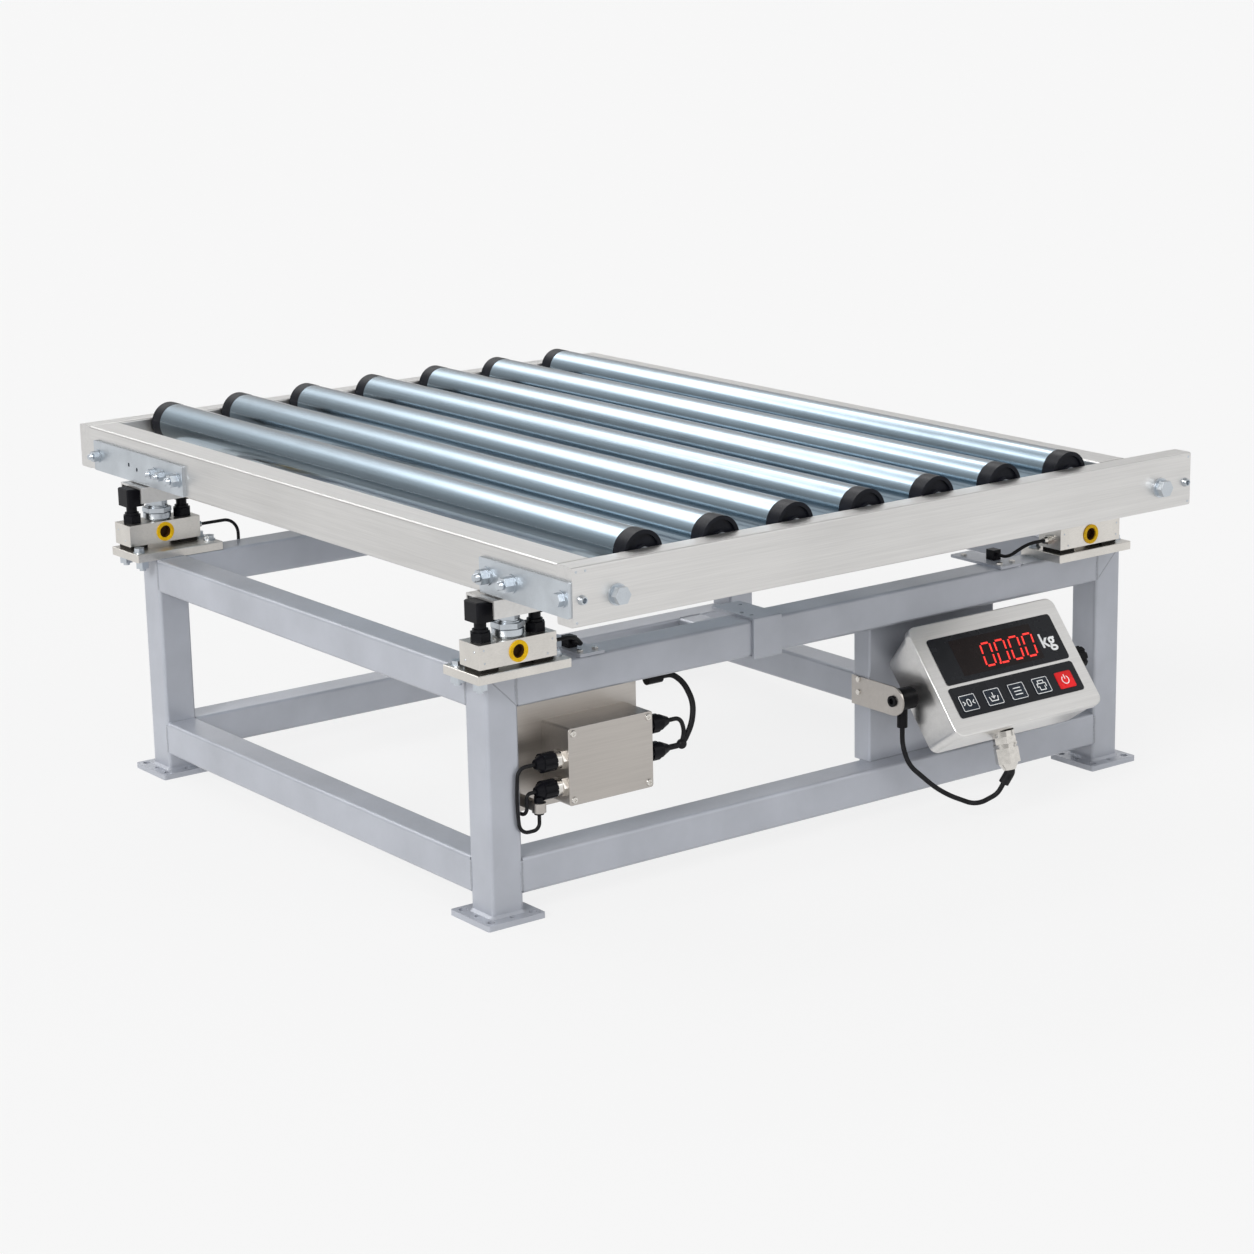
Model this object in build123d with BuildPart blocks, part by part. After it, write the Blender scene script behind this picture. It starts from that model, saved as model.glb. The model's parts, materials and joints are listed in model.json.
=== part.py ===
from build123d import *
from math import cos, radians, sin, tan
import os

# Conveyor scale: a roller deck on four weigh modules over a painted base frame.
# Millimetres. X runs across the rollers, Y along them, Z up. The origin is on the
# floor in the middle of the base frame.
os.makedirs("parts", exist_ok=True)

# base frame
FRAME_X, FRAME_Y, FRAME_TOP = 1140.0, 920.0, 335.0
TUBE, WALL, TUBE_R = 50.0, 3.0, 5.0
FOOT, FOOT_T, HOLE_PITCH, HOLE_R = 90.0, 8.0, 66.0, 5.5
LEG_X, LEG_Y = (FRAME_X - TUBE) / 2, (FRAME_Y - TUBE) / 2
IN_X, IN_Y = FRAME_X / 2 - TUBE, FRAME_Y / 2 - TUBE
OUT_Y = FRAME_Y / 2
LOW_Z, TOP_Z = 57.0, FRAME_TOP - TUBE / 2
TIE_X = IN_X - 87
RAIL_TOP, RAIL_UNDER = LOW_Z + TUBE / 2, TOP_Z - TUBE / 2

SADDLE_X, SADDLE_W, SADDLE_T = -134.0, 49.0, 4.0

# weigh modules: the load foot stands at MOD_XS, +-MOD_Y
MOD_XS, MOD_Y = (-FRAME_X / 2 + 33, FRAME_X / 2 - 92), FRAME_Y / 2 + 6
MPLATE_L, MPLATE_W, MPLATE_T = 145.0, 82.0, 12.0
MPLATE_DX, MPLATE_Y = 7.5, FRAME_Y / 2 - 8
PLATE_TOP = FRAME_TOP + MPLATE_T
BEAM_L, BEAM_W, BEAM_H, BEAM_Z = 120.0, 46.0, 32.0, PLATE_TOP + 6
BEAM_TOP, BORE_Z = BEAM_Z + BEAM_H, BEAM_Z + BEAM_H / 2
BORE_R, RING_R, RING_T = 9.3, 14.3, 8.0
STOP_DX, STOP_R, STOP_H, STOP_PLAY = 42.0, 8.0, 27.0, 0.6

CPLATE_XS, CPLATE_T = (MOD_XS[0] + 134, MOD_XS[1] - 134), 4.0

# live deck: the end members lie on channels that the load feet carry
WEB_Z, WEB_T, SEAT = BEAM_TOP + 54, 3.0, 0.05
CHAN_W, CHAN_H = 63.0, 24.0
END_Z, END_W, END_H = WEB_Z + WEB_T, 50.0, 66.0
SIDE_T, SIDE_WALL, SIDE_R = 33.0, 2.5, 3.0
SIDE_Z, DECK_TOP = END_Z - 10, END_Z + END_H
# the front member alone runs on past the right end, from RIGHT_X1 to DECK_X1
DECK_X0, RIGHT_X1, DECK_X1 = MOD_XS[0] - 25, MOD_XS[1] - 60, MOD_XS[1] + 40
DECK_F, DECK_R = FRAME_Y / 2 + 185, FRAME_Y / 2 + 195
IN_F, IN_R = DECK_F - SIDE_T, DECK_R - SIDE_T
HALF_IN, ACROSS = (IN_F + IN_R) / 2, Plane.XZ.offset((IN_F - IN_R) / 2)
PLATE_Z, PLATE_T = END_Z + 25, 5.0

# rollers
ROLLERS, ROLLER_R, ROLLER_WALL = 7, 30.0, 2.0
ROLLER_Z = SIDE_Z + 67.5
CAP_HALF = HALF_IN - 3
CAP_T, CAP_PLUG = 24.0, 18.0
TUBE_HALF = CAP_HALF - CAP_T
SHAFT_R, SHAFT_CLEAR = 6.0, 0.06
PITCH = (DECK_X1 - DECK_X0 - 340.2) / (ROLLERS - 1)
ROLLER_XS = [DECK_X0 + 136 + i * PITCH for i in range(ROLLERS)]

# indicator: its post, and a plane on the front of its face, which leans back
POST_W, POST_D, POST_WALL = 241.0, 34.0, 2.0
POST_X0, POST_Y0 = IN_X - 418, -OUT_Y + 30
POST_X1, POST_Y1 = POST_X0 + POST_W, POST_Y0 + POST_D
LEAN = radians(39.2)
FACE_W, FACE_H, FACE_R, SHEET = 282.0, 175.0, 14.0, 3.0
FACE_X, FACE_Y, FACE_Z = POST_X0 + 169, POST_Y0 - 101.5, 215.0
FACE = Plane(origin=(FACE_X, FACE_Y, FACE_Z), x_dir=(1, 0, 0), z_dir=(0, -cos(LEAN), sin(LEAN)))
FACE_AXIS = Axis(FACE.origin, FACE.z_dir)
CASE_D, CASE_WALL, BACK_W, BACK_H, BACK_V = 68.0, 2.0, FACE_W - 6, FACE_H - 23, -4.0
PIV_Y, PIV_Z = POST_Y0 - 54, 184.3
ARM_T, ARM_R, STUD_R = 3.0, 21.0, 8.0
ARM_X = POST_X0 + 334
DISPLAY_W, DISPLAY_H, DISPLAY_V = FACE_W - 44, 73.0, 26.5
KEY_W, KEY_H, KEY_V, KEY_GAP, KEY_TRAVEL = 31.0, 26.0, -41.0, 0.4, 0.8
KEY_US = [-96 + i * 46.8 for i in range(5)]

# junction box on the front of its hanger plate
BOX_W, BOX_D, BOX_H, BOX_WALL, LID_T = 137.0, 57.0, 105.0, 2.0, 3.0
BOX_X0, BOX_Y1, BOX_Z0 = -IN_X + 63, -OUT_Y + 40, 143.0
BOX_X1, BOX_Y0, BOX_Z1 = BOX_X0 + BOX_W, BOX_Y1 - BOX_D, BOX_Z0 + BOX_H
BOX_XC, BOX_ZC = BOX_X0 + BOX_W / 2, BOX_Z0 + BOX_H / 2
SCREW_DX, SCREW_DZ = BOX_W / 2 - 7.5, BOX_H / 2 - 7.5
GLAND_Y = BOX_Y0 + 13
LEFT_ZS, RIGHT_ZS = (205.0, 168.0), (224.0, 186.0)
LEFT_TIP, RIGHT_TIP = BOX_X0 - 43, BOX_X1 + 36
BOOT_X, BOOT_Z = LEFT_TIP - 14, 138.0
SLEEVE_X, SLEEVE_Z = LEFT_TIP + 5, 137.0
RAIL_BOOT = (BOX_X1 + 48, -LEG_Y, RAIL_UNDER - 8)


# base frame: legs with their foot plates and weld beads
with BuildPart() as legs:
    for sx in (-1, 1):
        for sy in (-1, 1):
            with BuildSketch(Plane.XY):
                with Locations((sx * LEG_X, sy * LEG_Y)):
                    RectangleRounded(FOOT, FOOT, 3)
                    with GridLocations(HOLE_PITCH, HOLE_PITCH, 2, 2):
                        Circle(HOLE_R, mode=Mode.SUBTRACT)
                    with PolarLocations(HOLE_PITCH / 2, 4):
                        Circle(3.5, mode=Mode.SUBTRACT)
            extrude(amount=FOOT_T)
            with BuildSketch(Plane.XY.offset(FOOT_T)):
                with Locations((sx * LEG_X, sy * LEG_Y)):
                    RectangleRounded(TUBE + 7, TUBE + 7, TUBE_R + 3)
            extrude(amount=3.5, taper=45)
            with BuildSketch(Plane.XY.offset(FOOT_T)):
                with Locations((sx * LEG_X, sy * LEG_Y)):
                    RectangleRounded(TUBE, TUBE, TUBE_R)
            extrude(amount=FRAME_TOP - FOOT_T)
            with BuildSketch(Plane.XY.offset(FOOT_T)):
                with Locations((sx * LEG_X, sy * LEG_Y)):
                    RectangleRounded(TUBE - 2 * WALL, TUBE - 2 * WALL, TUBE_R - WALL)
            extrude(amount=FRAME_TOP - FOOT_T - WALL, mode=Mode.SUBTRACT)
            # weld metal in the corner beside each rail's outer face
            for z in (LOW_Z, TOP_Z):
                with BuildSketch(Plane.XY.offset(z - TUBE / 2 + TUBE_R)):
                    with Locations((sx * (IN_X + TUBE_R / 2), sy * (OUT_Y - TUBE_R / 2 + 0.2))):
                        Rectangle(TUBE_R, TUBE_R + 0.4)
                    if sx < 0 or z == TOP_Z:
                        with Locations((sx * (FRAME_X / 2 - TUBE_R / 2 + 0.2),
                                        sy * (IN_Y + TUBE_R / 2))):
                            Rectangle(TUBE_R + 0.4, TUBE_R)
                extrude(amount=TUBE - 2 * TUBE_R)
legs.part.label = "legs"
export_step(legs.part, "parts/legs.step")

with BuildPart() as top_rails:
    for sy in (-1, 1):
        with BuildSketch(Plane.YZ.offset(-IN_X)):
            with Locations((sy * LEG_Y, TOP_Z)):
                RectangleRounded(TUBE, TUBE, TUBE_R)
                RectangleRounded(TUBE - 2 * WALL, TUBE - 2 * WALL, TUBE_R - WALL, mode=Mode.SUBTRACT)
        extrude(amount=2 * IN_X)
    for sx in (-1, 1):
        with BuildSketch(Plane.XZ):
            with Locations((sx * LEG_X, TOP_Z)):
                RectangleRounded(TUBE, TUBE, TUBE_R)
                RectangleRounded(TUBE - 2 * WALL, TUBE - 2 * WALL, TUBE_R - WALL, mode=Mode.SUBTRACT)
        extrude(amount=IN_Y, both=True)
top_rails.part.label = "top_rails"
export_step(top_rails.part, "parts/top_rails.step")

with BuildPart() as low_rails:
    for sy in (-1, 1):
        with BuildSketch(Plane.YZ.offset(-IN_X)):
            with Locations((sy * LEG_Y, LOW_Z)):
                RectangleRounded(TUBE, TUBE, TUBE_R)
                RectangleRounded(TUBE - 2 * WALL, TUBE - 2 * WALL, TUBE_R - WALL, mode=Mode.SUBTRACT)
        extrude(amount=2 * IN_X)
    with BuildSketch(Plane.XZ):
        with Locations((-LEG_X, LOW_Z)):
            RectangleRounded(TUBE, TUBE, TUBE_R)
            RectangleRounded(TUBE - 2 * WALL, TUBE - 2 * WALL, TUBE_R - WALL, mode=Mode.SUBTRACT)
    extrude(amount=IN_Y, both=True)
low_rails.part.label = "low_rails"
export_step(low_rails.part, "parts/low_rails.step")

with BuildPart() as tie_rail:
    with BuildSketch(Plane.XZ):
        with Locations((TIE_X, LOW_Z)):
            RectangleRounded(TUBE, TUBE, TUBE_R)
            RectangleRounded(TUBE - 2 * WALL, TUBE - 2 * WALL, TUBE_R - WALL, mode=Mode.SUBTRACT)
    extrude(amount=IN_Y, both=True)
tie_rail.part.label = "tie_rail"
export_step(tie_rail.part, "parts/tie_rail.step")

# a folded plate that wraps the top front rail
with BuildPart() as rail_saddle:
    with BuildSketch(Plane.YZ.offset(SADDLE_X)):
        with BuildLine():
            Polyline((-IN_Y, RAIL_UNDER - SADDLE_T), (-OUT_Y - SADDLE_T, RAIL_UNDER - SADDLE_T),
                     (-OUT_Y - SADDLE_T, FRAME_TOP + SADDLE_T), (-IN_Y + 38, FRAME_TOP + SADDLE_T),
                     (-IN_Y + 38, FRAME_TOP), (-OUT_Y, FRAME_TOP), (-OUT_Y, RAIL_UNDER),
                     (-IN_Y, RAIL_UNDER), close=True)
        make_face()
    extrude(amount=SADDLE_W)
    fillet(rail_saddle.edges().filter_by(Axis.X).group_by(Axis.Y)[0], SADDLE_T - 1)
    spare = ((10, 9), (11, -11), (36, 45))
    with Locations(*[(SADDLE_X + dx, dy - LEG_Y, FRAME_TOP + SADDLE_T) for dx, dy in spare]):
        Hole(3.2, depth=SADDLE_T)
rail_saddle.part.label = "rail_saddle"
export_step(rail_saddle.part, "parts/rail_saddle.step")

# flat plates on the front rail that carry the load cell cables
with BuildPart() as cable_plates:
    for x in CPLATE_XS:
        with BuildSketch(Plane.XY.offset(FRAME_TOP)):
            with Locations((x, -IN_Y)):
                RectangleRounded(40, 108, 2)
        extrude(amount=CPLATE_T)
cable_plates.part.label = "cable_plates"
export_step(cable_plates.part, "parts/cable_plates.step")

# upright box that carries the indicator
with BuildPart() as indicator_post:
    with BuildSketch(Plane.XY.offset(RAIL_TOP)):
        with Locations(((POST_X0 + POST_X1) / 2, (POST_Y0 + POST_Y1) / 2)):
            RectangleRounded(POST_W, POST_D, POST_WALL + 2)
            RectangleRounded(POST_W - 2 * POST_WALL, POST_D - 2 * POST_WALL, 2, mode=Mode.SUBTRACT)
    extrude(amount=RAIL_UNDER - RAIL_TOP)
indicator_post.part.label = "indicator_post"
export_step(indicator_post.part, "parts/indicator_post.step")

# stainless arms: one on the post's left side, one folded round its right
with BuildPart() as indicator_yoke:
    for x, back in ((POST_X0 - ARM_T, POST_Y1), (ARM_X, POST_Y0)):
        with BuildSketch(Plane.YZ.offset(x)):
            with Locations(((PIV_Y + back) / 2, PIV_Z)):
                Rectangle(back - PIV_Y, 2 * ARM_R)
            with Locations((PIV_Y, PIV_Z)):
                Circle(ARM_R)
                Circle(STUD_R + 0.06, mode=Mode.SUBTRACT)
        extrude(amount=ARM_T)
    with BuildSketch(Plane.XY.offset(PIV_Z - ARM_R)):
        with Locations(((POST_X1 - 53 + ARM_X + ARM_T) / 2, POST_Y0 - ARM_T / 2)):
            Rectangle(ARM_X + ARM_T - POST_X1 + 53, ARM_T)
    extrude(amount=2 * ARM_R)
indicator_yoke.part.label = "indicator_yoke"
export_step(indicator_yoke.part, "parts/indicator_yoke.step")

# junction box
with BuildPart() as jbox_hanger:
    with BuildSketch(Plane.XY.offset(130)):
        with Locations(((-IN_X + BOX_X1 + 19) / 2, BOX_Y1 + 2)):
            Rectangle(BOX_X1 + 17 + IN_X, 4)
    extrude(amount=RAIL_UNDER - 130)
    with BuildSketch(Plane.XY.offset(SLEEVE_Z + 3)):
        with Locations((SLEEVE_X, (GLAND_Y + BOX_Y1) / 2 + 4)):
            Rectangle(8, BOX_Y1 - GLAND_Y - 8)
        with Locations((SLEEVE_X, GLAND_Y)):
            Circle(9.5)
            Circle(6.5, mode=Mode.SUBTRACT)
    extrude(amount=13)
jbox_hanger.part.label = "jbox_hanger"
export_step(jbox_hanger.part, "parts/jbox_hanger.step")

with BuildPart() as jbox_body:
    with BuildSketch(Plane.XZ.offset(-BOX_Y1)):
        with Locations((BOX_XC, BOX_ZC)):
            RectangleRounded(BOX_W, BOX_H, 4)
    extrude(amount=BOX_D)
    with BuildSketch(Plane.XZ.offset(-BOX_Y1 + BOX_WALL)):
        with Locations((BOX_XC, BOX_ZC)):
            RectangleRounded(BOX_W - 2 * BOX_WALL, BOX_H - 2 * BOX_WALL, 2)
    extrude(amount=BOX_D, mode=Mode.SUBTRACT)
    with BuildSketch(Plane.XZ.offset(-BOX_Y1 + BOX_WALL)):
        with Locations((BOX_XC, BOX_ZC)):
            with GridLocations(2 * SCREW_DX, 2 * SCREW_DZ, 2, 2):
                Rectangle(11, 11)
    extrude(amount=BOX_D - BOX_WALL)
jbox_body.part.label = "jbox_body"
export_step(jbox_body.part, "parts/jbox_body.step")

with BuildPart() as jbox_lid:
    with BuildSketch(Plane.XZ.offset(-BOX_Y0)):
        with Locations((BOX_XC, BOX_ZC)):
            RectangleRounded(BOX_W, BOX_H, 4)
    extrude(amount=LID_T)
    fillet(jbox_lid.faces().sort_by(Axis.Y)[0].edges(), 1)
jbox_lid.part.label = "jbox_lid"
export_step(jbox_lid.part, "parts/jbox_lid.step")

with BuildPart() as jbox_board:
    with BuildSketch(Plane.XZ.offset(-BOX_Y1 + 10)):
        with Locations((BOX_XC, BOX_ZC)):
            Rectangle(BOX_W - 41, BOX_H - 35)
    extrude(amount=1.6)
    with BuildSketch(Plane.XZ.offset(-BOX_Y1 + BOX_WALL)):
        with Locations((BOX_XC, BOX_ZC)):
            with GridLocations(BOX_W - 53, BOX_H - 47, 2, 2):
                Circle(3)
    extrude(amount=10 - BOX_WALL)
    with BuildSketch(Plane.XZ.offset(-BOX_Y1 + 11.6)):
        with Locations((BOX_XC, BOX_ZC)):
            with GridLocations(0, BOX_H - 49, 1, 2):
                Rectangle(BOX_W - 57, 10)
            with GridLocations(22, 0, 4, 1):
                Rectangle(9, 16)
    extrude(amount=11)
jbox_board.part.label = "jbox_board"
export_step(jbox_board.part, "parts/jbox_board.step")

# weigh modules
with BuildPart() as module_plates:
    for mx in MOD_XS:
        for sy in (-1, 1):
            with BuildSketch(Plane.XY.offset(FRAME_TOP)):
                with Locations((mx + MPLATE_DX, sy * MPLATE_Y)):
                    RectangleRounded(MPLATE_L, MPLATE_W, 2)
            extrude(amount=MPLATE_T)
    chamfer(module_plates.faces().group_by(Axis.Z)[-1].edges(), 0.8)
module_plates.part.label = "module_plates"
export_step(module_plates.part, "parts/module_plates.step")

with BuildPart() as load_beams:
    for mx in MOD_XS:
        for sy in (-1, 1):
            with BuildSketch(Plane.XY.offset(BEAM_Z)):
                with Locations((mx, sy * MOD_Y)):
                    RectangleRounded(BEAM_L, BEAM_W, 1.5)
                    with GridLocations(2 * STOP_DX, 0, 2, 1):
                        Circle(STOP_R + 0.05, mode=Mode.SUBTRACT)
            extrude(amount=BEAM_H)
            with BuildSketch(Plane.XZ.offset(-sy * MOD_Y)):
                with Locations((mx, BORE_Z)):
                    Circle(BORE_R)
            extrude(amount=BEAM_W / 2, both=True, mode=Mode.SUBTRACT)
            for e in (-1, 1):
                with BuildSketch(Plane.XZ.offset(-sy * MOD_Y + e * BEAM_W / 2)):
                    with Locations((mx, BORE_Z)):
                        Circle(RING_R)
                extrude(amount=-e * RING_T, mode=Mode.SUBTRACT)
load_beams.part.label = "load_beams"
export_step(load_beams.part, "parts/load_beams.step")

with BuildPart() as beam_rings:
    for mx in MOD_XS:
        for sy in (-1, 1):
            for e in (-1, 1):
                with BuildSketch(Plane.XZ.offset(-sy * MOD_Y + e * (BEAM_W / 2 - RING_T))):
                    with Locations((mx, BORE_Z)):
                        Circle(RING_R)
                        Circle(BORE_R, mode=Mode.SUBTRACT)
                extrude(amount=e * (RING_T + 1.5))
beam_rings.part.label = "beam_rings"
export_step(beam_rings.part, "parts/beam_rings.step")

with BuildPart() as beam_spacers:
    for mx in MOD_XS:
        for sy in (-1, 1):
            for e in (-1, 1):
                with BuildSketch(Plane.XY.offset(PLATE_TOP)):
                    with Locations((mx + e * STOP_DX, sy * MOD_Y)):
                        Rectangle(28, BEAM_W - 10)
                        Circle(STOP_R + 0.05, mode=Mode.SUBTRACT)
                extrude(amount=BEAM_Z - PLATE_TOP)
beam_spacers.part.label = "beam_spacers"
export_step(beam_spacers.part, "parts/beam_spacers.step")

with BuildPart() as load_feet:
    for mx in MOD_XS:
        for sy in (-1, 1):
            with BuildSketch(Plane.XZ.offset(-sy * MOD_Y)):
                with BuildLine():
                    Polyline((mx, BEAM_TOP), (mx + 18, BEAM_TOP), (mx + 21, BEAM_TOP + 3),
                             (mx + 21, BEAM_TOP + 11), (mx + 17, BEAM_TOP + 13),
                             (mx + 17, BEAM_TOP + 21), (mx + 15, BEAM_TOP + 21),
                             (mx + 15, BEAM_TOP + 23), (mx + 9, BEAM_TOP + 23), (mx + 9, WEB_Z - 5),
                             (mx + 15, WEB_Z - 5), (mx + 15, WEB_Z - SEAT), (mx, WEB_Z - SEAT),
                             close=True)
                make_face()
            revolve(axis=Axis((mx, sy * MOD_Y, 0), (0, 0, 1)))
            for af, z0, h in ((38, 12, 7), (28, 23, 11), (24, 38, 9)):
                with BuildSketch(Plane.XY.offset(BEAM_TOP + z0)):
                    with Locations((mx, sy * MOD_Y)):
                        RegularPolygon(af / 2, 6, major_radius=False, rotation=30)
                extrude(amount=h)
load_feet.part.label = "load_feet"
export_step(load_feet.part, "parts/load_feet.step")

# black overload stops at both ends of each beam
with BuildPart() as stop_posts:
    for mx in MOD_XS:
        for sy in (-1, 1):
            for e in (-1, 1):
                with BuildSketch(Plane.XY.offset(PLATE_TOP)):
                    with Locations((mx + e * STOP_DX, sy * MOD_Y)):
                        Circle(STOP_R)
                extrude(amount=WEB_Z - 12 - PLATE_TOP)
                with BuildSketch(Plane.XY.offset(BEAM_TOP)):
                    with Locations((mx + e * STOP_DX, sy * MOD_Y)):
                        RegularPolygon(12.5, 6, major_radius=False)
                extrude(amount=12)
                with BuildSketch(Plane.XY.offset(BEAM_TOP + 12)):
                    with Locations((mx + e * STOP_DX, sy * MOD_Y)):
                        Circle(10.5)
                extrude(amount=4)
                with BuildSketch(Plane.XY.offset(WEB_Z - STOP_H - STOP_PLAY)):
                    with Locations((mx + e * STOP_DX, sy * MOD_Y)):
                        RectangleRounded(28, 32, 3)
                extrude(amount=STOP_H)
    chamfer(stop_posts.faces().filter_by(Plane.XY).group_by(Axis.Z)[-1].edges(), 1.5)
stop_posts.part.label = "stop_posts"
export_step(stop_posts.part, "parts/stop_posts.step")

# heads on the module plates, nuts under their overhanging ends
with BuildPart() as module_bolts:
    for mx in MOD_XS:
        for sy in (-1, 1):
            for dx, dy in ((70, 3), (70, -30), (-53, -38)):
                with BuildSketch(Plane.XY.offset(PLATE_TOP)):
                    with Locations((mx + dx, sy * (MOD_Y + dy))):
                        Circle(9)
                extrude(amount=1.6)
                with BuildSketch(Plane.XY.offset(PLATE_TOP + 1.6)):
                    with Locations((mx + dx, sy * (MOD_Y + dy))):
                        RegularPolygon(7, 6, major_radius=False)
                extrude(amount=5.5)
            if mx < 0:
                for dy in (9, -42):
                    with BuildSketch(Plane.XY.offset(FRAME_TOP)):
                        with Locations((mx - 51, sy * (MOD_Y + dy))):
                            RegularPolygon(9, 6, major_radius=False)
                    extrude(amount=-11)
                    with BuildSketch(Plane.XY.offset(FRAME_TOP - 11)):
                        with Locations((mx - 51, sy * (MOD_Y + dy))):
                            Circle(5)
                    extrude(amount=-4)
module_bolts.part.label = "module_bolts"
export_step(module_bolts.part, "parts/module_bolts.step")

# screws: junction box lid, yoke arms, cable plates
with BuildPart() as small_screws:
    with BuildSketch(Plane.XZ.offset(-BOX_Y0 + LID_T)):
        with Locations((BOX_XC, BOX_ZC)):
            with GridLocations(2 * SCREW_DX, 2 * SCREW_DZ, 2, 2):
                Circle(5)
    extrude(amount=2, taper=25)
    with BuildSketch(Plane.XZ.offset(-BOX_Y0 + LID_T + 1)):
        with Locations((BOX_XC, BOX_ZC)):
            with GridLocations(2 * SCREW_DX, 2 * SCREW_DZ, 2, 2):
                Rectangle(5, 1.2)
                Rectangle(1.2, 5)
    extrude(amount=2, mode=Mode.SUBTRACT)
    for dz in (-2, 17):
        with BuildSketch(Plane.YZ.offset(POST_X0 - ARM_T)):
            with Locations((POST_Y1 - 15, PIV_Z + dz)):
                Circle(4)
        extrude(amount=-2)
        with BuildSketch(Plane.XZ.offset(-POST_Y0 + ARM_T)):
            with Locations((POST_X1 - 27, PIV_Z + dz)):
                Circle(4)
        extrude(amount=2)
    for x in CPLATE_XS:
        with BuildSketch(Plane.XY.offset(FRAME_TOP + CPLATE_T)):
            with Locations((x - 12, -IN_Y - 42), (x + 12, -IN_Y - 42), (x - 12, -IN_Y + 34)):
                RegularPolygon(4, 6, major_radius=False)
        extrude(amount=3)
small_screws.part.label = "small_screws"
export_step(small_screws.part, "parts/small_screws.step")

# glands: plated nuts on the beams and the box, black caps and boots
with BuildPart() as gland_nuts:
    for mx, s in zip(MOD_XS, (1, -1)):
        for sy in (-1, 1):
            with BuildSketch(Plane.YZ.offset(mx + s * BEAM_L / 2)):
                with Locations((sy * MOD_Y, BORE_Z - 3)):
                    RegularPolygon(6, 6, major_radius=False)
            extrude(amount=s * 8)
            with BuildSketch(Plane.YZ.offset(mx + s * (BEAM_L / 2 + 8))):
                with Locations((sy * MOD_Y, BORE_Z - 3)):
                    Circle(5.5)
            extrude(amount=s * 5, taper=12)
    for z in LEFT_ZS:
        with BuildSketch(Plane.YZ.offset(BOX_X0)):
            with Locations((GLAND_Y, z)):
                RegularPolygon(12, 6, major_radius=False)
        extrude(amount=-6)
        with BuildSketch(Plane.YZ.offset(BOX_X0 - 6)):
            with Locations((GLAND_Y, z)):
                Circle(11.5)
        extrude(amount=-8)
gland_nuts.part.label = "gland_nuts"
export_step(gland_nuts.part, "parts/gland_nuts.step")

with BuildPart() as gland_caps:
    for z in LEFT_ZS:
        with BuildSketch(Plane.YZ.offset(BOX_X0 - 14)):
            with Locations((GLAND_Y, z)):
                Circle(13)
                with PolarLocations(13, 10):
                    Circle(1.2, mode=Mode.SUBTRACT)
        extrude(amount=-20)
        with BuildSketch(Plane.YZ.offset(BOX_X0 - 34)):
            with Locations((GLAND_Y, z)):
                Circle(11)
        extrude(amount=LEFT_TIP - BOX_X0 + 34, taper=28)
    for z in RIGHT_ZS:
        for r, d0, d1 in ((13, 6, 18), (11, 18, 24)):
            with BuildSketch(Plane.YZ.offset(BOX_X1 + d0)):
                with Locations((GLAND_Y, z)):
                    Circle(r)
            extrude(amount=d1 - d0)
        with BuildSketch(Plane.YZ.offset(BOX_X1)):
            with Locations((GLAND_Y, z)):
                RegularPolygon(11, 6, major_radius=False)
        extrude(amount=6)
        with BuildSketch(Plane.YZ.offset(BOX_X1 + 24)):
            with Locations((GLAND_Y, z)):
                Circle(11)
        extrude(amount=RIGHT_TIP - BOX_X1 - 24, taper=24)
    with BuildSketch(Plane.XY.offset(SLEEVE_Z)):
        with Locations((SLEEVE_X, GLAND_Y)):
            Circle(6.5)
    extrude(amount=24)
    with BuildSketch(Plane.XZ.offset(-BOX_Y1)):
        with Locations((BOOT_X, BOOT_Z)):
            Circle(5.5)
    extrude(amount=16)
    with BuildSketch(Plane.YZ.offset(RAIL_BOOT[0])):
        with Locations((RAIL_BOOT[1], RAIL_BOOT[2])):
            Circle(8)
    extrude(amount=-24)
    for mx, s in zip(MOD_XS, (1, -1)):
        with BuildSketch(Plane.XY.offset(FRAME_TOP + CPLATE_T)):
            with Locations((mx + s * 128, -MOD_Y + 46)):
                Rectangle(14, 16)
        extrude(amount=15)
        with BuildSketch(Plane.XY.offset(TOP_Z - 6)):
            with Locations((mx + s * 87.5, MOD_Y + 0.5)):
                Rectangle(27, 13)
        extrude(amount=16)
gland_caps.part.label = "gland_caps"
export_step(gland_caps.part, "parts/gland_caps.step")


def bend_radii(points):
    """Largest comfortable arc at each corner of a cable's route."""
    radii = []
    for a, b, c in zip(points, points[1:], points[2:]):
        u = Vector(*b) - Vector(*a)
        v = Vector(*c) - Vector(*b)
        turn = radians(u.get_angle(v))
        radii.append(0.45 * min(u.length, v.length) / tan(turn / 2))
    return radii


# cables of the junction box: the radius of each, and the points of its route
BOX_ROUTES = (
    (2.5, ((LEFT_TIP, GLAND_Y, 205), (LEFT_TIP - 27, GLAND_Y, 205), (LEFT_TIP - 30, GLAND_Y, 160),
           (LEFT_TIP - 26, GLAND_Y, 116), (SLEEVE_X, GLAND_Y, 116), (SLEEVE_X, GLAND_Y, SLEEVE_Z))),
    (2.5, ((LEFT_TIP, GLAND_Y, 168), (BOOT_X, GLAND_Y, 168), (BOOT_X, GLAND_Y, BOOT_Z),
           (BOOT_X, BOX_Y1 - 16, BOOT_Z))),
    (4.0, ((RIGHT_TIP, GLAND_Y, 186), (BOX_X1 + 62, GLAND_Y, 186), (BOX_X1 + 80, GLAND_Y + 2, 212),
           (BOX_X1 + 88, -LEG_Y - 20, 238), (BOX_X1 + 85, -LEG_Y - 4, 262),
           (BOX_X1 + 68, -LEG_Y, RAIL_BOOT[2]), RAIL_BOOT)),
    (3.0, ((RIGHT_TIP, GLAND_Y, 224), (BOX_X1 + 58, GLAND_Y, 224), (BOX_X1 + 65, GLAND_Y, 205),
           (BOX_X1 + 60, GLAND_Y, 187))),
)
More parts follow.
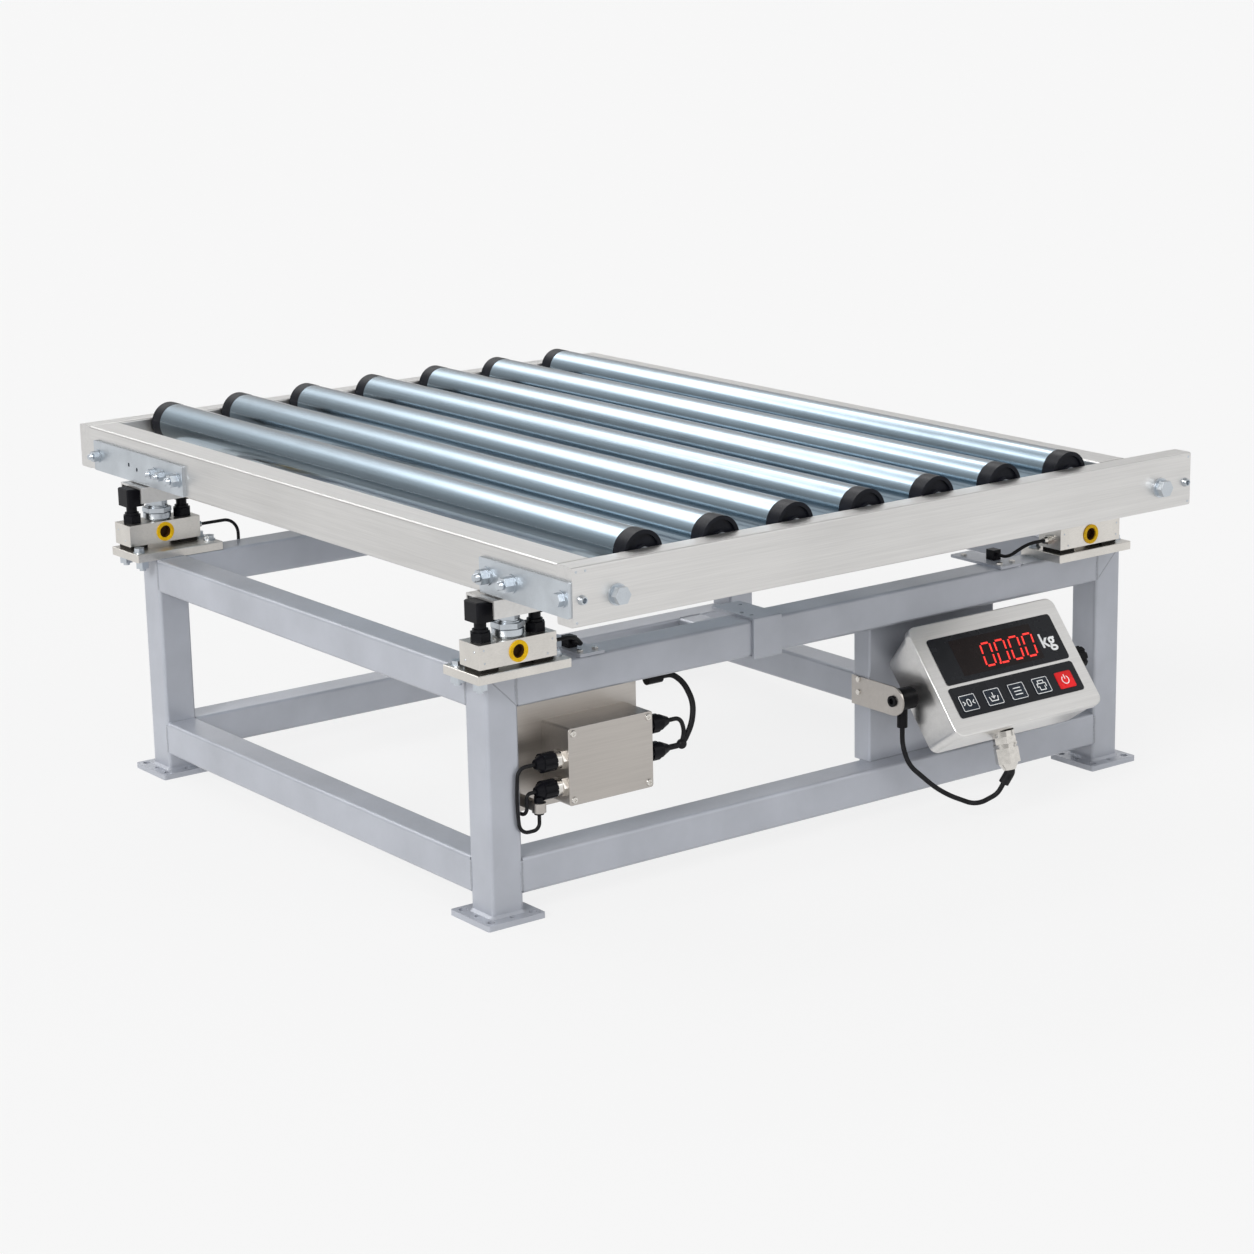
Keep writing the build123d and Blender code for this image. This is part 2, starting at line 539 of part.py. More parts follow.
with BuildPart() as box_cables:
    for r, route in BOX_ROUTES:
        with BuildLine() as wire:
            FilletPolyline(*route, radius=bend_radii(route))
        with BuildSketch(Plane(wire.line @ 0, z_dir=wire.line % 0)):
            Circle(r)
        sweep(path=wire.line)
        print("box cable", r, [round(b, 1) for b in bend_radii(route)], round(wire.wires()[0].length))
    with Locations((BOX_X1 + 60, GLAND_Y, 187)):
        Sphere(7)
box_cables.part.label = "box_cables"
export_step(box_cables.part, "parts/box_cables.step")

# each load cell's cable, from its gland to a boot on the frame
with BuildPart() as cell_cables:
    for mx, s in zip(MOD_XS, (1, -1)):
        start = mx + s * (BEAM_L / 2 + 13)
        front = ((start, -MOD_Y, BORE_Z - 3), (start + s * 31, -MOD_Y, BORE_Z - 3),
                 (mx + s * 128, -MOD_Y + 16, PLATE_TOP), (mx + s * 128, -MOD_Y + 38, PLATE_TOP))
        rear = ((start, MOD_Y, BORE_Z - 3), (mx + s * 137, MOD_Y, BORE_Z - 3),
                (mx + s * 137, MOD_Y, TOP_Z + 2), (mx + s * 101, MOD_Y, TOP_Z + 2))
        for route in (front, rear):
            with BuildLine() as wire:
                FilletPolyline(*route, radius=bend_radii(route))
            with BuildSketch(Plane(wire.line @ 0, z_dir=wire.line % 0)):
                Circle(2.5)
            sweep(path=wire.line)
            print("cell cable", [round(b, 1) for b in bend_radii(route)], round(wire.wires()[0].length))
cell_cables.part.label = "cell_cables"
export_step(cell_cables.part, "parts/cell_cables.step")

# live deck
for name, sy, face_y, x1, z0 in (("deck_front", -1, DECK_F, DECK_X1, SIDE_Z),
                                 ("deck_rear", 1, DECK_R, RIGHT_X1, END_Z)):
    middle, high = (sy * (face_y - SIDE_T / 2), (z0 + DECK_TOP) / 2), DECK_TOP - z0
    with BuildPart() as deck_side:
        with BuildSketch(Plane.YZ.offset(DECK_X0)):
            with Locations(middle):
                RectangleRounded(SIDE_T, high, SIDE_R)
        extrude(amount=x1 - DECK_X0)
        fillet(deck_side.faces().sort_by(Axis.X)[-1].edges(), SIDE_R - 1)
        with BuildSketch(Plane.YZ.offset(DECK_X0 + 3)):
            with Locations(middle):
                Rectangle(SIDE_T - 2 * SIDE_WALL, high - 2 * SIDE_WALL)
        extrude(amount=x1 - DECK_X0 - 6, mode=Mode.SUBTRACT)
        with BuildSketch(Plane.XZ.offset(-sy * (face_y - SIDE_T - 1))):
            with Locations([(x, ROLLER_Z) for x in ROLLER_XS]):
                Circle(SHAFT_R + 0.2)
        extrude(amount=-sy * (SIDE_WALL + 3), mode=Mode.SUBTRACT)
    deck_side.part.label = name
    export_step(deck_side.part, "parts/%s.step" % name)

for name, x0 in (("deck_left", DECK_X0), ("deck_right", RIGHT_X1 - END_W)):
    with BuildPart() as deck_end:
        with BuildSketch(ACROSS):
            with Locations((x0 + END_W / 2, END_Z + END_H / 2)):
                RectangleRounded(END_W, END_H, SIDE_R)
                RectangleRounded(END_W - 2 * SIDE_WALL, END_H - 2 * SIDE_WALL, 1, mode=Mode.SUBTRACT)
        extrude(amount=HALF_IN, both=True)
    deck_end.part.label = name
    export_step(deck_end.part, "parts/%s.step" % name)

# zinc tie plates over the corners of the deck's ends
with BuildPart() as corner_plates:
    for y0, y1 in ((-DECK_F + 2, -OUT_Y + 10), (OUT_Y - 136, IN_R - 20)):
        with BuildSketch(Plane.YZ.offset(DECK_X0)):
            with Locations(((y0 + y1) / 2, PLATE_Z)):
                RectangleRounded(y1 - y0, 46, 2)
            with Locations((-IN_F + 2, PLATE_Z - 3), (OUT_Y + 30, PLATE_Z + 1),
                           (OUT_Y + 5, PLATE_Z - 3)):
                Circle(3, mode=Mode.SUBTRACT)
        extrude(amount=-PLATE_T)
    with BuildSketch(Plane.YZ.offset(RIGHT_X1)):
        with Locations((-IN_F + 50, PLATE_Z), (IN_R - 50, PLATE_Z)):
            Rectangle(100, 46)
    extrude(amount=PLATE_T)
corner_plates.part.label = "corner_plates"
export_step(corner_plates.part, "parts/corner_plates.step")

# inverted channels that sit on the load feet
with BuildPart() as load_channels:
    for x0, x1 in ((DECK_X0 - 16, DECK_X0 + 114), (RIGHT_X1 - END_W, DECK_X1 + 1)):
        for sy in (-1, 1):
            with BuildSketch(Plane.YZ.offset(x0)):
                with Locations((sy * MOD_Y, END_Z - CHAN_H / 2)):
                    Rectangle(CHAN_W, CHAN_H)
                with Locations((sy * MOD_Y, END_Z - CHAN_H / 2 - WEB_T)):
                    Rectangle(CHAN_W - 2 * WEB_T, CHAN_H, mode=Mode.SUBTRACT)
            extrude(amount=x1 - x0)
load_channels.part.label = "load_channels"
export_step(load_channels.part, "parts/load_channels.step")

# hex bolts with washers and small button bolts
END_BOLTS = ((-MOD_Y, 18, 11), (-OUT_Y - 61, 18, 13), (-DECK_F + 17, 16, 7), (OUT_Y - 50, 13, 8),
             (OUT_Y - 77, 13, 9), (OUT_Y - 119, 17, 12), (IN_R - 32, 15, 8))
with BuildPart() as deck_bolts:
    for sy, face_y, x1 in ((-1, DECK_F, DECK_X1), (1, DECK_R, RIGHT_X1)):
        for x in (DECK_X0 + 67, x1 - 62):
            for r, d0, d1 in ((14, 0, 2.5), (11.5, 2.5, 4)):
                with BuildSketch(Plane.XZ.offset(-sy * (face_y + d0))):
                    with Locations((x, PLATE_Z - 2)):
                        Circle(r)
                extrude(amount=-sy * (d1 - d0))
            with BuildSketch(Plane.XZ.offset(-sy * (face_y + 4))):
                with Locations((x, PLATE_Z - 2)):
                    RegularPolygon(10.5, 6, major_radius=False)
            extrude(amount=-sy * 10)
        for x in (DECK_X0 + 14, x1 - 12):
            with BuildSketch(Plane.XZ.offset(-sy * face_y)):
                with Locations((x, PLATE_Z - 1)):
                    Circle(6.5)
                    Circle(1.8, mode=Mode.SUBTRACT)
            extrude(amount=-sy * 6, taper=15)
    with BuildSketch(Plane.YZ.offset(RIGHT_X1 + PLATE_T)):
        with Locations([(y, PLATE_Z) for y in (-IN_F + 22, -IN_F + 72, IN_R - 72, IN_R - 22)]):
            RegularPolygon(8, 6, major_radius=False)
    extrude(amount=7)
    for y, af, deep in END_BOLTS:
        with BuildSketch(Plane.YZ.offset(DECK_X0 - PLATE_T)):
            with Locations((y, PLATE_Z)):
                Circle(af * 0.68)
        extrude(amount=-2)
        with BuildSketch(Plane.YZ.offset(DECK_X0 - PLATE_T - 2)):
            with Locations((y, PLATE_Z)):
                RegularPolygon(af / 2, 6, major_radius=False)
        extrude(amount=-deep)
deck_bolts.part.label = "deck_bolts"
export_step(deck_bolts.part, "parts/deck_bolts.step")

with BuildPart() as roller_shafts:
    with BuildSketch(ACROSS):
        with Locations([(x, ROLLER_Z) for x in ROLLER_XS]):
            Circle(SHAFT_R)
    extrude(amount=HALF_IN + 7, both=True)
    for sy in (-1, 1):
        with BuildSketch(ACROSS.offset(sy * (CAP_HALF + 0.4))):
            with Locations([(x, ROLLER_Z) for x in ROLLER_XS]):
                Circle(SHAFT_R + 3)
        extrude(amount=sy * (HALF_IN - CAP_HALF - 0.4))
roller_shafts.part.label = "roller_shafts"
export_step(roller_shafts.part, "parts/roller_shafts.step")

# rollers: zinc tube and two black end caps with their bearings' bore
for i, x in enumerate(ROLLER_XS):
    with BuildPart() as roller_tube:
        with BuildSketch(ACROSS):
            with Locations((x, ROLLER_Z)):
                Circle(ROLLER_R)
                Circle(ROLLER_R - ROLLER_WALL, mode=Mode.SUBTRACT)
        extrude(amount=TUBE_HALF, both=True)
    roller_tube.part.label = "roller_%d_tube" % (i + 1)
    export_step(roller_tube.part, "parts/roller_%d_tube.step" % (i + 1))

    with BuildPart() as roller_caps:
        for sy in (-1, 1):
            with BuildSketch(ACROSS.offset(sy * TUBE_HALF)):
                with Locations((x, ROLLER_Z)):
                    Circle(ROLLER_R + 0.3)
            extrude(amount=sy * CAP_T)
            with BuildSketch(ACROSS.offset(sy * TUBE_HALF)):
                with Locations((x, ROLLER_Z)):
                    Circle(ROLLER_R - ROLLER_WALL)
            extrude(amount=-sy * CAP_PLUG)
            with BuildSketch(ACROSS.offset(sy * CAP_HALF)):
                with Locations((x, ROLLER_Z)):
                    Circle(ROLLER_R - 5)
                    Circle(ROLLER_R - 19, mode=Mode.SUBTRACT)
            extrude(amount=-sy * 4, mode=Mode.SUBTRACT)
            with BuildSketch(ACROSS.offset(sy * (CAP_HALF + 1))):
                with Locations((x, ROLLER_Z)):
                    Circle(SHAFT_R + SHAFT_CLEAR)
            extrude(amount=-sy * (CAP_T + CAP_PLUG + 2), mode=Mode.SUBTRACT)
    roller_caps.part.label = "roller_%d_caps" % (i + 1)
    export_step(roller_caps.part, "parts/roller_%d_caps.step" % (i + 1))

# indicator
with BuildPart() as indicator_bezel:
    with BuildSketch(FACE):
        RectangleRounded(FACE_W, FACE_H, FACE_R)
    extrude(amount=-12)
    fillet(indicator_bezel.faces().sort_by(FACE_AXIS)[-1].edges(), 2)
    with BuildSketch(FACE.offset(-SHEET)):
        RectangleRounded(FACE_W - SHEET, FACE_H - SHEET, FACE_R - SHEET / 2)
    extrude(amount=-9, mode=Mode.SUBTRACT)
    with BuildSketch(FACE):
        with Locations((1, DISPLAY_V + 1.5)):
            Rectangle(DISPLAY_W - 38, DISPLAY_H - 17)
        with Locations([(u, KEY_V) for u in KEY_US]):
            RectangleRounded(KEY_W + 2 * KEY_GAP, KEY_H + 2 * KEY_GAP, 3)
    extrude(amount=-SHEET, mode=Mode.SUBTRACT)
indicator_bezel.part.label = "indicator_bezel"
export_step(indicator_bezel.part, "parts/indicator_bezel.step")

MOUTH_W, MOUTH_H = FACE_W - SHEET - 0.4, FACE_H - SHEET - 0.4
with BuildPart() as case_outer:
    with BuildSketch(FACE.offset(-SHEET)):
        RectangleRounded(MOUTH_W, MOUTH_H, FACE_R - 2)
    with BuildSketch(FACE.offset(-CASE_D)):
        with Locations((0, BACK_V)):
            RectangleRounded(BACK_W, BACK_H, FACE_R - 2)
    loft()

with BuildPart() as indicator_case:
    add(case_outer.part)
    with BuildSketch(FACE.offset(-SHEET)):
        RectangleRounded(MOUTH_W - 2 * CASE_WALL, MOUTH_H - 2 * CASE_WALL, FACE_R - 4)
    with BuildSketch(FACE.offset(CASE_WALL - CASE_D)):
        with Locations((0, BACK_V)):
            RectangleRounded(BACK_W - 2 * CASE_WALL, BACK_H - 2 * CASE_WALL, FACE_R - 4)
    loft(mode=Mode.SUBTRACT)
indicator_case.part.label = "indicator_case"
export_step(indicator_case.part, "parts/indicator_case.step")

FILM = 0.8
with BuildPart() as display_window:
    with BuildSketch(FACE):
        with Locations((1, DISPLAY_V)):
            RectangleRounded(DISPLAY_W, DISPLAY_H, 5)
    extrude(amount=FILM)
display_window.part.label = "display_window"
export_step(display_window.part, "parts/display_window.step")

with BuildPart() as keypad_panel:
    with BuildSketch(FACE):
        with Locations((-1, KEY_V + 3)):
            RectangleRounded(DISPLAY_W + 2, KEY_H + 21, 5)
        with Locations([(u, KEY_V) for u in KEY_US]):
            RectangleRounded(KEY_W + 2 * KEY_GAP, KEY_H + 2 * KEY_GAP, 3, mode=Mode.SUBTRACT)
    extrude(amount=FILM)
keypad_panel.part.label = "keypad_panel"
export_step(keypad_panel.part, "parts/keypad_panel.step")

# four seven-segment digits that read 0.000
with BuildPart() as display_digits:
    with BuildSketch(FACE.offset(FILM)):
        for k in range(4):
            with Locations((27 * k - 22, DISPLAY_V - 3.5)):
                with Locations((2.6, 17.2), (-2.6, -17.2)):
                    Rectangle(13, 2.8)
                with Locations((-7.6, 8.6), (10.2, 8.6), (-10.2, -8.6), (7.6, -8.6)):
                    Rectangle(2.8, 13.4, rotation=-8.5)
        with Locations((-7.4, DISPLAY_V - 20.5)):
            Circle(1.8)
    extrude(amount=0.2)
display_digits.part.label = "display_digits"
export_step(display_digits.part, "parts/display_digits.step")

BOARD_IN, BOARD_W, BOARD_H = 14.0, FACE_W - 46, FACE_H - 39
with BuildPart() as indicator_board:
    with BuildSketch(FACE.offset(-BOARD_IN)):
        Rectangle(BOARD_W, BOARD_H)
    extrude(amount=-1.6)
    with BuildSketch(FACE.offset(-BOARD_IN)):
        with GridLocations(BOARD_W - 12, BOARD_H - 12, 2, 2):
            Circle(3)
    extrude(amount=BOARD_IN - SHEET)
    with BuildSketch(FACE.offset(-BOARD_IN)):
        with Locations((1, DISPLAY_V + 1.5)):
            Rectangle(DISPLAY_W - 42, DISPLAY_H - 21)
    extrude(amount=BOARD_IN - 1)
    with BuildSketch(FACE.offset(-BOARD_IN)):
        with Locations([(u, KEY_V) for u in KEY_US]):
            Rectangle(12, 12)
    extrude(amount=BOARD_IN - 6)
indicator_board.part.label = "indicator_board"
export_step(indicator_board.part, "parts/indicator_board.step")

# each key stands proud of the film, and its stem stops short of the board by the key's travel
KEY_TOP, KEY_T = 1.6, 5.8
for i, u in enumerate(KEY_US):
    with BuildPart() as key:
        with BuildSketch(FACE.offset(KEY_TOP - KEY_T)):
            with Locations((u, KEY_V)):
                RectangleRounded(KEY_W, KEY_H, 2.6)
        extrude(amount=KEY_T)
        with BuildSketch(FACE.offset(-6 + KEY_TRAVEL + 0.2)):
            with Locations((u, KEY_V)):
                Rectangle(8, 8)
        extrude(amount=1)
    key.part.label = "key_%d" % (i + 1)
    export_step(key.part, "parts/key_%d.step" % (i + 1))

# black pivots and hand knob; the left one has the cable's elbow
ELBOW_X, ELBOW_Z = POST_X0 + 15, PIV_Z - 41
CASE_SIDE = FACE_X + BACK_W / 2
with BuildPart() as pivot_knobs:
    for r, x0, x1 in ((16, POST_X0 + 0.4, POST_X0 + 38), (STUD_R, POST_X0 - 6, POST_X0 + 2),
                      (12, CASE_SIDE - 8, ARM_X - 0.4), (STUD_R, ARM_X - 2, ARM_X + 4)):
        with BuildSketch(Plane.YZ.offset(x0)):
            with Locations((PIV_Y, PIV_Z)):
                Circle(r)
        extrude(amount=x1 - x0)
    with BuildSketch(Plane.YZ.offset(POST_X0 - 6)):
        with Locations((PIV_Y, PIV_Z)):
            Circle(4.5)
    extrude(amount=4, mode=Mode.SUBTRACT)
    with BuildSketch(Plane.XY.offset(ELBOW_Z)):
        with Locations((ELBOW_X, PIV_Y)):
            Circle(7.5)
    extrude(amount=PIV_Z - ELBOW_Z - 10)
    with BuildSketch(Plane.YZ.offset(ARM_X + ARM_T + 0.4)):
        with Locations((PIV_Y, PIV_Z)):
            Circle(17)
            with PolarLocations(17, 8):
                Circle(2.2, mode=Mode.SUBTRACT)
    extrude(amount=26)
    add(case_outer.part, mode=Mode.SUBTRACT)
pivot_knobs.part.label = "pivot_knobs"
export_step(pivot_knobs.part, "parts/pivot_knobs.step")

# plated gland under the case, 16 degrees from the vertical
GLAND_AT = FACE.from_local_coords((-24, -80, -40))
DOWN = Vector(0, -sin(radians(16)), -cos(radians(16)))
GLAND = Plane(origin=GLAND_AT, x_dir=(1, 0, 0), z_dir=DOWN)
with BuildPart() as indicator_gland:
    for r, d0, d1 in ((16, 0, 8), (17.5, 18, 21), (16, 21, 24)):
        with BuildSketch(GLAND.offset(d0)):
            Circle(r)
        extrude(amount=d1 - d0)
    for af, d0, d1 in ((30, 8, 18), (32, 24, 46)):
        with BuildSketch(GLAND.offset(d0)):
            RegularPolygon(af / 2, 6, major_radius=False)
        extrude(amount=d1 - d0)
    with BuildSketch(GLAND.offset(46)):
        Circle(14.5)
    extrude(amount=10, taper=30)
    add(case_outer.part, mode=Mode.SUBTRACT)
indicator_gland.part.label = "indicator_gland"
export_step(indicator_gland.part, "parts/indicator_gland.step")

# its black boot bends towards the elbow, then the cable hangs and climbs to it
SWING = Vector(-0.392, 0.277, -0.877)
KNEE = GLAND_AT + DOWN * 59
BOOT_END = KNEE + SWING * 19
BOOT_ROUTE = (tuple(GLAND_AT + DOWN * 52), tuple(KNEE), tuple(BOOT_END))
HANG_ROUTE = (tuple(BOOT_END), tuple(BOOT_END + SWING * 18), (FACE_X - 68, FACE_Y - 14, 25),
              (FACE_X - 111, FACE_Y + 13, 46), (ELBOW_X + 5, PIV_Y - 8, 88), (ELBOW_X, PIV_Y, 118),
              (ELBOW_X, PIV_Y, ELBOW_Z))
with BuildPart() as indicator_cable:
    for r, route in ((7.5, BOOT_ROUTE), (3.5, HANG_ROUTE)):
        with BuildLine() as wire:
            FilletPolyline(*route, radius=bend_radii(route))
        with BuildSketch(Plane(wire.line @ 0, z_dir=wire.line % 0)):
            Circle(r)
        sweep(path=wire.line)
        print("indicator cable", r, [round(b, 1) for b in bend_radii(route)],
              round(wire.wires()[0].length))
    add(indicator_gland.part, mode=Mode.SUBTRACT)
indicator_cable.part.label = "indicator_cable"
export_step(indicator_cable.part, "parts/indicator_cable.step")
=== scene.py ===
"""Conveyor scale: finishes, welds, fasteners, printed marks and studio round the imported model."""

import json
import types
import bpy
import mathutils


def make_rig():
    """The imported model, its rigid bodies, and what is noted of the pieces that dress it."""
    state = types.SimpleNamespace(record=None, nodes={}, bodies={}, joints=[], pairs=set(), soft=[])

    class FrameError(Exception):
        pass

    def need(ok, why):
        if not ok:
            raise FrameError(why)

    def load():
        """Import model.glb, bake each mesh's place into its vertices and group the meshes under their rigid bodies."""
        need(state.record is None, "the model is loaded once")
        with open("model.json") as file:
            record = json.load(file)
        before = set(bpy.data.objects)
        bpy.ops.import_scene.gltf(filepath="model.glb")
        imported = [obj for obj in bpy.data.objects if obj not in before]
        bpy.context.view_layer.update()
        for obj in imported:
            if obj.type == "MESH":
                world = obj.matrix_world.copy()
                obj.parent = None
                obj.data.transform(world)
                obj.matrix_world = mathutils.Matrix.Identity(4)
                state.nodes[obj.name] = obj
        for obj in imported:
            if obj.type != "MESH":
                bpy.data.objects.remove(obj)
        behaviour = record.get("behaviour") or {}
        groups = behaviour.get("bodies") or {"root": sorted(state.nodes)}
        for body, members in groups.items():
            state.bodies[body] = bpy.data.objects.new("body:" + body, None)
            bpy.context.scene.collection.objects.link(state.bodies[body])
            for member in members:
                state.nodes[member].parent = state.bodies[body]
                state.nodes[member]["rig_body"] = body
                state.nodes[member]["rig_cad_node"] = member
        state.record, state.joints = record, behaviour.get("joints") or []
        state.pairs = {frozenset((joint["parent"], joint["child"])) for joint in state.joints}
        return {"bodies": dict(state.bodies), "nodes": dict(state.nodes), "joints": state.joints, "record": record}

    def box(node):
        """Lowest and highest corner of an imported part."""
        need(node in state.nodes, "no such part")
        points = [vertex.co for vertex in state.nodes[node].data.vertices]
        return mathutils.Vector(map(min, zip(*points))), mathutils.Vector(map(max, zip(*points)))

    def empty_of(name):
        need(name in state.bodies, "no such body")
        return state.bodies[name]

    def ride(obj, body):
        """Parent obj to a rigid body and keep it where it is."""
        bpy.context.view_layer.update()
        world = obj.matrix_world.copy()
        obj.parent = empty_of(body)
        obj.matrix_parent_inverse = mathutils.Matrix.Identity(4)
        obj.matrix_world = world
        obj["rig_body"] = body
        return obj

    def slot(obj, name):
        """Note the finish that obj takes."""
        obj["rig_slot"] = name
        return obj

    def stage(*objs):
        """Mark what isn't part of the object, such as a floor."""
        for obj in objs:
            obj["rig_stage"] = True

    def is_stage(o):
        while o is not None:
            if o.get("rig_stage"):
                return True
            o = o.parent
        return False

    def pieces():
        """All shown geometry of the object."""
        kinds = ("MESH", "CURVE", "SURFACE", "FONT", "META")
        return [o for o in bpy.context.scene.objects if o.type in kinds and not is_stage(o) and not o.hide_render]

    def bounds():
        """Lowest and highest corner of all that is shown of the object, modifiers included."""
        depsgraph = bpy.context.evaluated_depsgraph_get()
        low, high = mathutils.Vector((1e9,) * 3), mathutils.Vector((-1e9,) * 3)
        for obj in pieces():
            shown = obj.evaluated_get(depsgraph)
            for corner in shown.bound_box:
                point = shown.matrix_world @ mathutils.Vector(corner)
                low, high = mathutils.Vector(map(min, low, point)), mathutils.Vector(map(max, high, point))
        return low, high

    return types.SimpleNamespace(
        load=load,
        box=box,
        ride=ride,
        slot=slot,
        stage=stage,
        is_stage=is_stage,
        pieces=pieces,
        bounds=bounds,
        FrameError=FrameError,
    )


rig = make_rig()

bl_info = {
    "name": "Conveyor Scale",
    "version": (1, 0, 0),
    "blender": (4, 5, 0),
    "location": "3D View > Sidebar > Scale",
    "description": "Dresses the packed conveyor scale and sets up its studio",
    "category": "Object",
}

import json
from math import cos, pi, radians, sin, tau

import bmesh
import bpy
from bpy.props import FloatProperty, FloatVectorProperty, PointerProperty
from mathutils import Matrix, Vector

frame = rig.load()
CAD_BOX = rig.bounds()

MM = 0.001
FACE_LEAN = radians(39.2)
FACE = Matrix.Translation((0.271, -0.5315, 0.215)) @ Matrix.Rotation(pi / 2 - FACE_LEAN, 4, "X")
KEYS = ("key_1", "key_2", "key_3", "key_4", "key_5")
BOLT_Z = 0.467
# base frame: outer half sizes, tube, top, and the middle heights of its rails
OUT_X = 0.57
OUT_Y = 0.46
TUBE = 0.05
FRAME_TOP = 0.335
LOW_RAIL_Z = 0.057
TOP_RAIL_Z = 0.31
# inner faces of the legs, the tie rail's middle, and the indicator post's sides and front
IN_X = OUT_X - TUBE
IN_Y = OUT_Y - TUBE
TIE_X = 0.433
POST_LEFT = 0.102
POST_RIGHT = 0.343
POST_FRONT = -0.43
# weigh modules: centres along X, distance from the middle along Y, and the bores' height
MODULE_XS = (-0.537, 0.478)
MODULE_Y = 0.466
BORE_Z = 0.369
BEAM_FACE = MODULE_Y + 23 * MM
BEAM_END = 60 * MM
SEAL_OUT = 14.5 * MM
# indicator's face, from the middle of the plane FACE: pane, unit mark and keys
PANE_SIZE = (0.156, 0.056)
PANE_MIDDLE = (-0.003, 0.0265)
UNIT_PLACE = (0.08, 0.0135, 0.00092)
UNIT_HEIGHT = 0.031
FIRST_KEY = -96
KEY_PITCH = 46.8
KEY_ROW = -0.041
KEY_TOP = 1.6 * MM
# camera, solved from the straight edges of frame and deck
CAMERA_LENS = 88.12
CAMERA_AT = (-2.6608, -3.599, 1.359)
CAMERA_TURN = radians(-36.43)
CAMERA_LOOKS_DOWN = radians(14.335)
CAMERA_ROLL = radians(-1.18)
# brightness of the plain background, and the floor's share of plain white where it is seen
BACKGROUND = 0.91
FLOOR_WHITE = 0.82
# bolts of the deck's left end: place along Y, how far left each reaches, thread radius in mm
END_BOLTS = (
    (-0.466, 0.580, 5.6),
    (-0.521, 0.582, 5.6),
    (0.410, 0.577, 4.0),
    (0.383, 0.578, 4.0),
    (0.341, 0.581, 5.2),
    (0.590, 0.577, 4.6),
)


# Shader expressions


class Wire:
    """One output socket, which takes part in sums and products like a number."""

    def __init__(self, shader, socket):
        self.shader = shader
        self.socket = socket

    def math(self, operation, first, second):
        return self.shader.node("Math", {"operation": operation}, {0: first, 1: second})

    def __add__(self, other):
        return self.math("ADD", self, other)

    def __sub__(self, other):
        return self.math("SUBTRACT", self, other)

    def __rsub__(self, other):
        return self.math("SUBTRACT", other, self)

    def __mul__(self, other):
        return self.math("MULTIPLY", self, other)

    def __gt__(self, other):
        return self.math("GREATER_THAN", self, other)

    __radd__ = __add__
    __rmul__ = __mul__


class Shader:
    """One material or world, whose node tree is written as expressions."""

    def __init__(self, name, owner=None):
        self.owner = owner or bpy.data.materials.new(name)
        self.owner.use_nodes = True
        self.tree = self.owner.node_tree
        self.surface = self.tree.nodes.get("Principled BSDF")

    def node(self, kind, settings=None, inputs=None, out=0):
        """Adds a node, sets its settings, then feeds its sockets with values or wires."""
        made = self.tree.nodes.new("ShaderNode" + kind)
        for key, value in (settings or {}).items():
            if key == "stops":
                self.set_stops(made.color_ramp, value)
            else:
                setattr(made, key, value)
        for key, value in (inputs or {}).items():
            self.feed(made.inputs[key], value)
        return Wire(self, made.outputs[out])

    def set_stops(self, ramp, stops):
        for _ in stops[2:]:
            ramp.elements.new(0.5)
        for element, (place, tone) in zip(ramp.elements, stops):
            element.position = place
            element.color = (*tone, 1.0)

    def feed(self, socket, value):
        if isinstance(value, Wire):
            self.tree.links.new(value.socket, socket)
        elif hasattr(value, "__len__") and len(value) == 3 and socket.type == "RGBA":
            socket.default_value = (*value, 1.0)
        else:
            socket.default_value = value

    def set(self, **values):
        """Feeds the surface's sockets, whose names are written with underscores."""
        for key, value in values.items():
            self.feed(self.surface.inputs[key.replace("_", " ")], value)

    def place(self):
        """The point on the object, in metres of the frame."""
        return self.node("TexCoord", out="Object")

    def stretched(self, scale):
        return self.node("Mapping", None, {"Vector": self.place(), "Scale": scale})

    def noise(self, scale, where=None, detail=3.0, rough=0.55):
        """A noise pattern from 0 to 1, scale times a metre."""
        inputs = {"Vector": where or self.place(), "Scale": scale, "Detail": detail, "Roughness": rough}
        return self.node("TexNoise", None, inputs)

    def ramp(self, factor, *stops):
        return self.node("ValToRGB", {"stops": stops}, {"Fac": factor})

    def blend(self, factor, one, other):
        inputs = {0: factor, 6: one, 7: other}
        return self.node("Mix", {"data_type": "RGBA"}, inputs, out=2)

    def spread(self, factor, low, high, to_low, to_high):
        """A value from low to high moved to the range to_low to to_high."""
        inputs = {"Value": factor, "From Min": low, "From Max": high, "To Min": to_low, "To Max": to_high}
        return self.node("MapRange", None, inputs)

    def bump(self, height, strength, distance):
        inputs = {"Height": height, "Strength": strength, "Distance": distance}
        return self.node("Bump", None, inputs)


def shade(colour, level):
    """The colour made darker or lighter."""
    return tuple(min(1.0, part * level) for part in colour[:3])


# Finishes


def silver_enamel(tint, name="Silver Enamel"):
    """Sprayed aluminium enamel: fine flake, orange peel, and cloudy depth."""
    s = Shader(name)
    cloud = s.noise(9.0, detail=4.0)
    flake = s.noise(2600.0, detail=1.0)
    peel = s.noise(420.0, detail=2.0)
    tone = cloud * 0.75 + flake * 0.25
    s.set(
        Base_Color=s.ramp(tone, (0.3, shade(tint, 0.88)), (0.7, shade(tint, 1.1))),
        Roughness=s.spread(peel, 0.3, 0.7, 0.32, 0.42),
        Normal=s.bump(peel * 0.8 + flake * 0.2, 0.12, 0.0004),
        Metallic=0.3,
        Coat_Weight=0.35,
        Coat_Roughness=0.16,
    )
    return s.owner


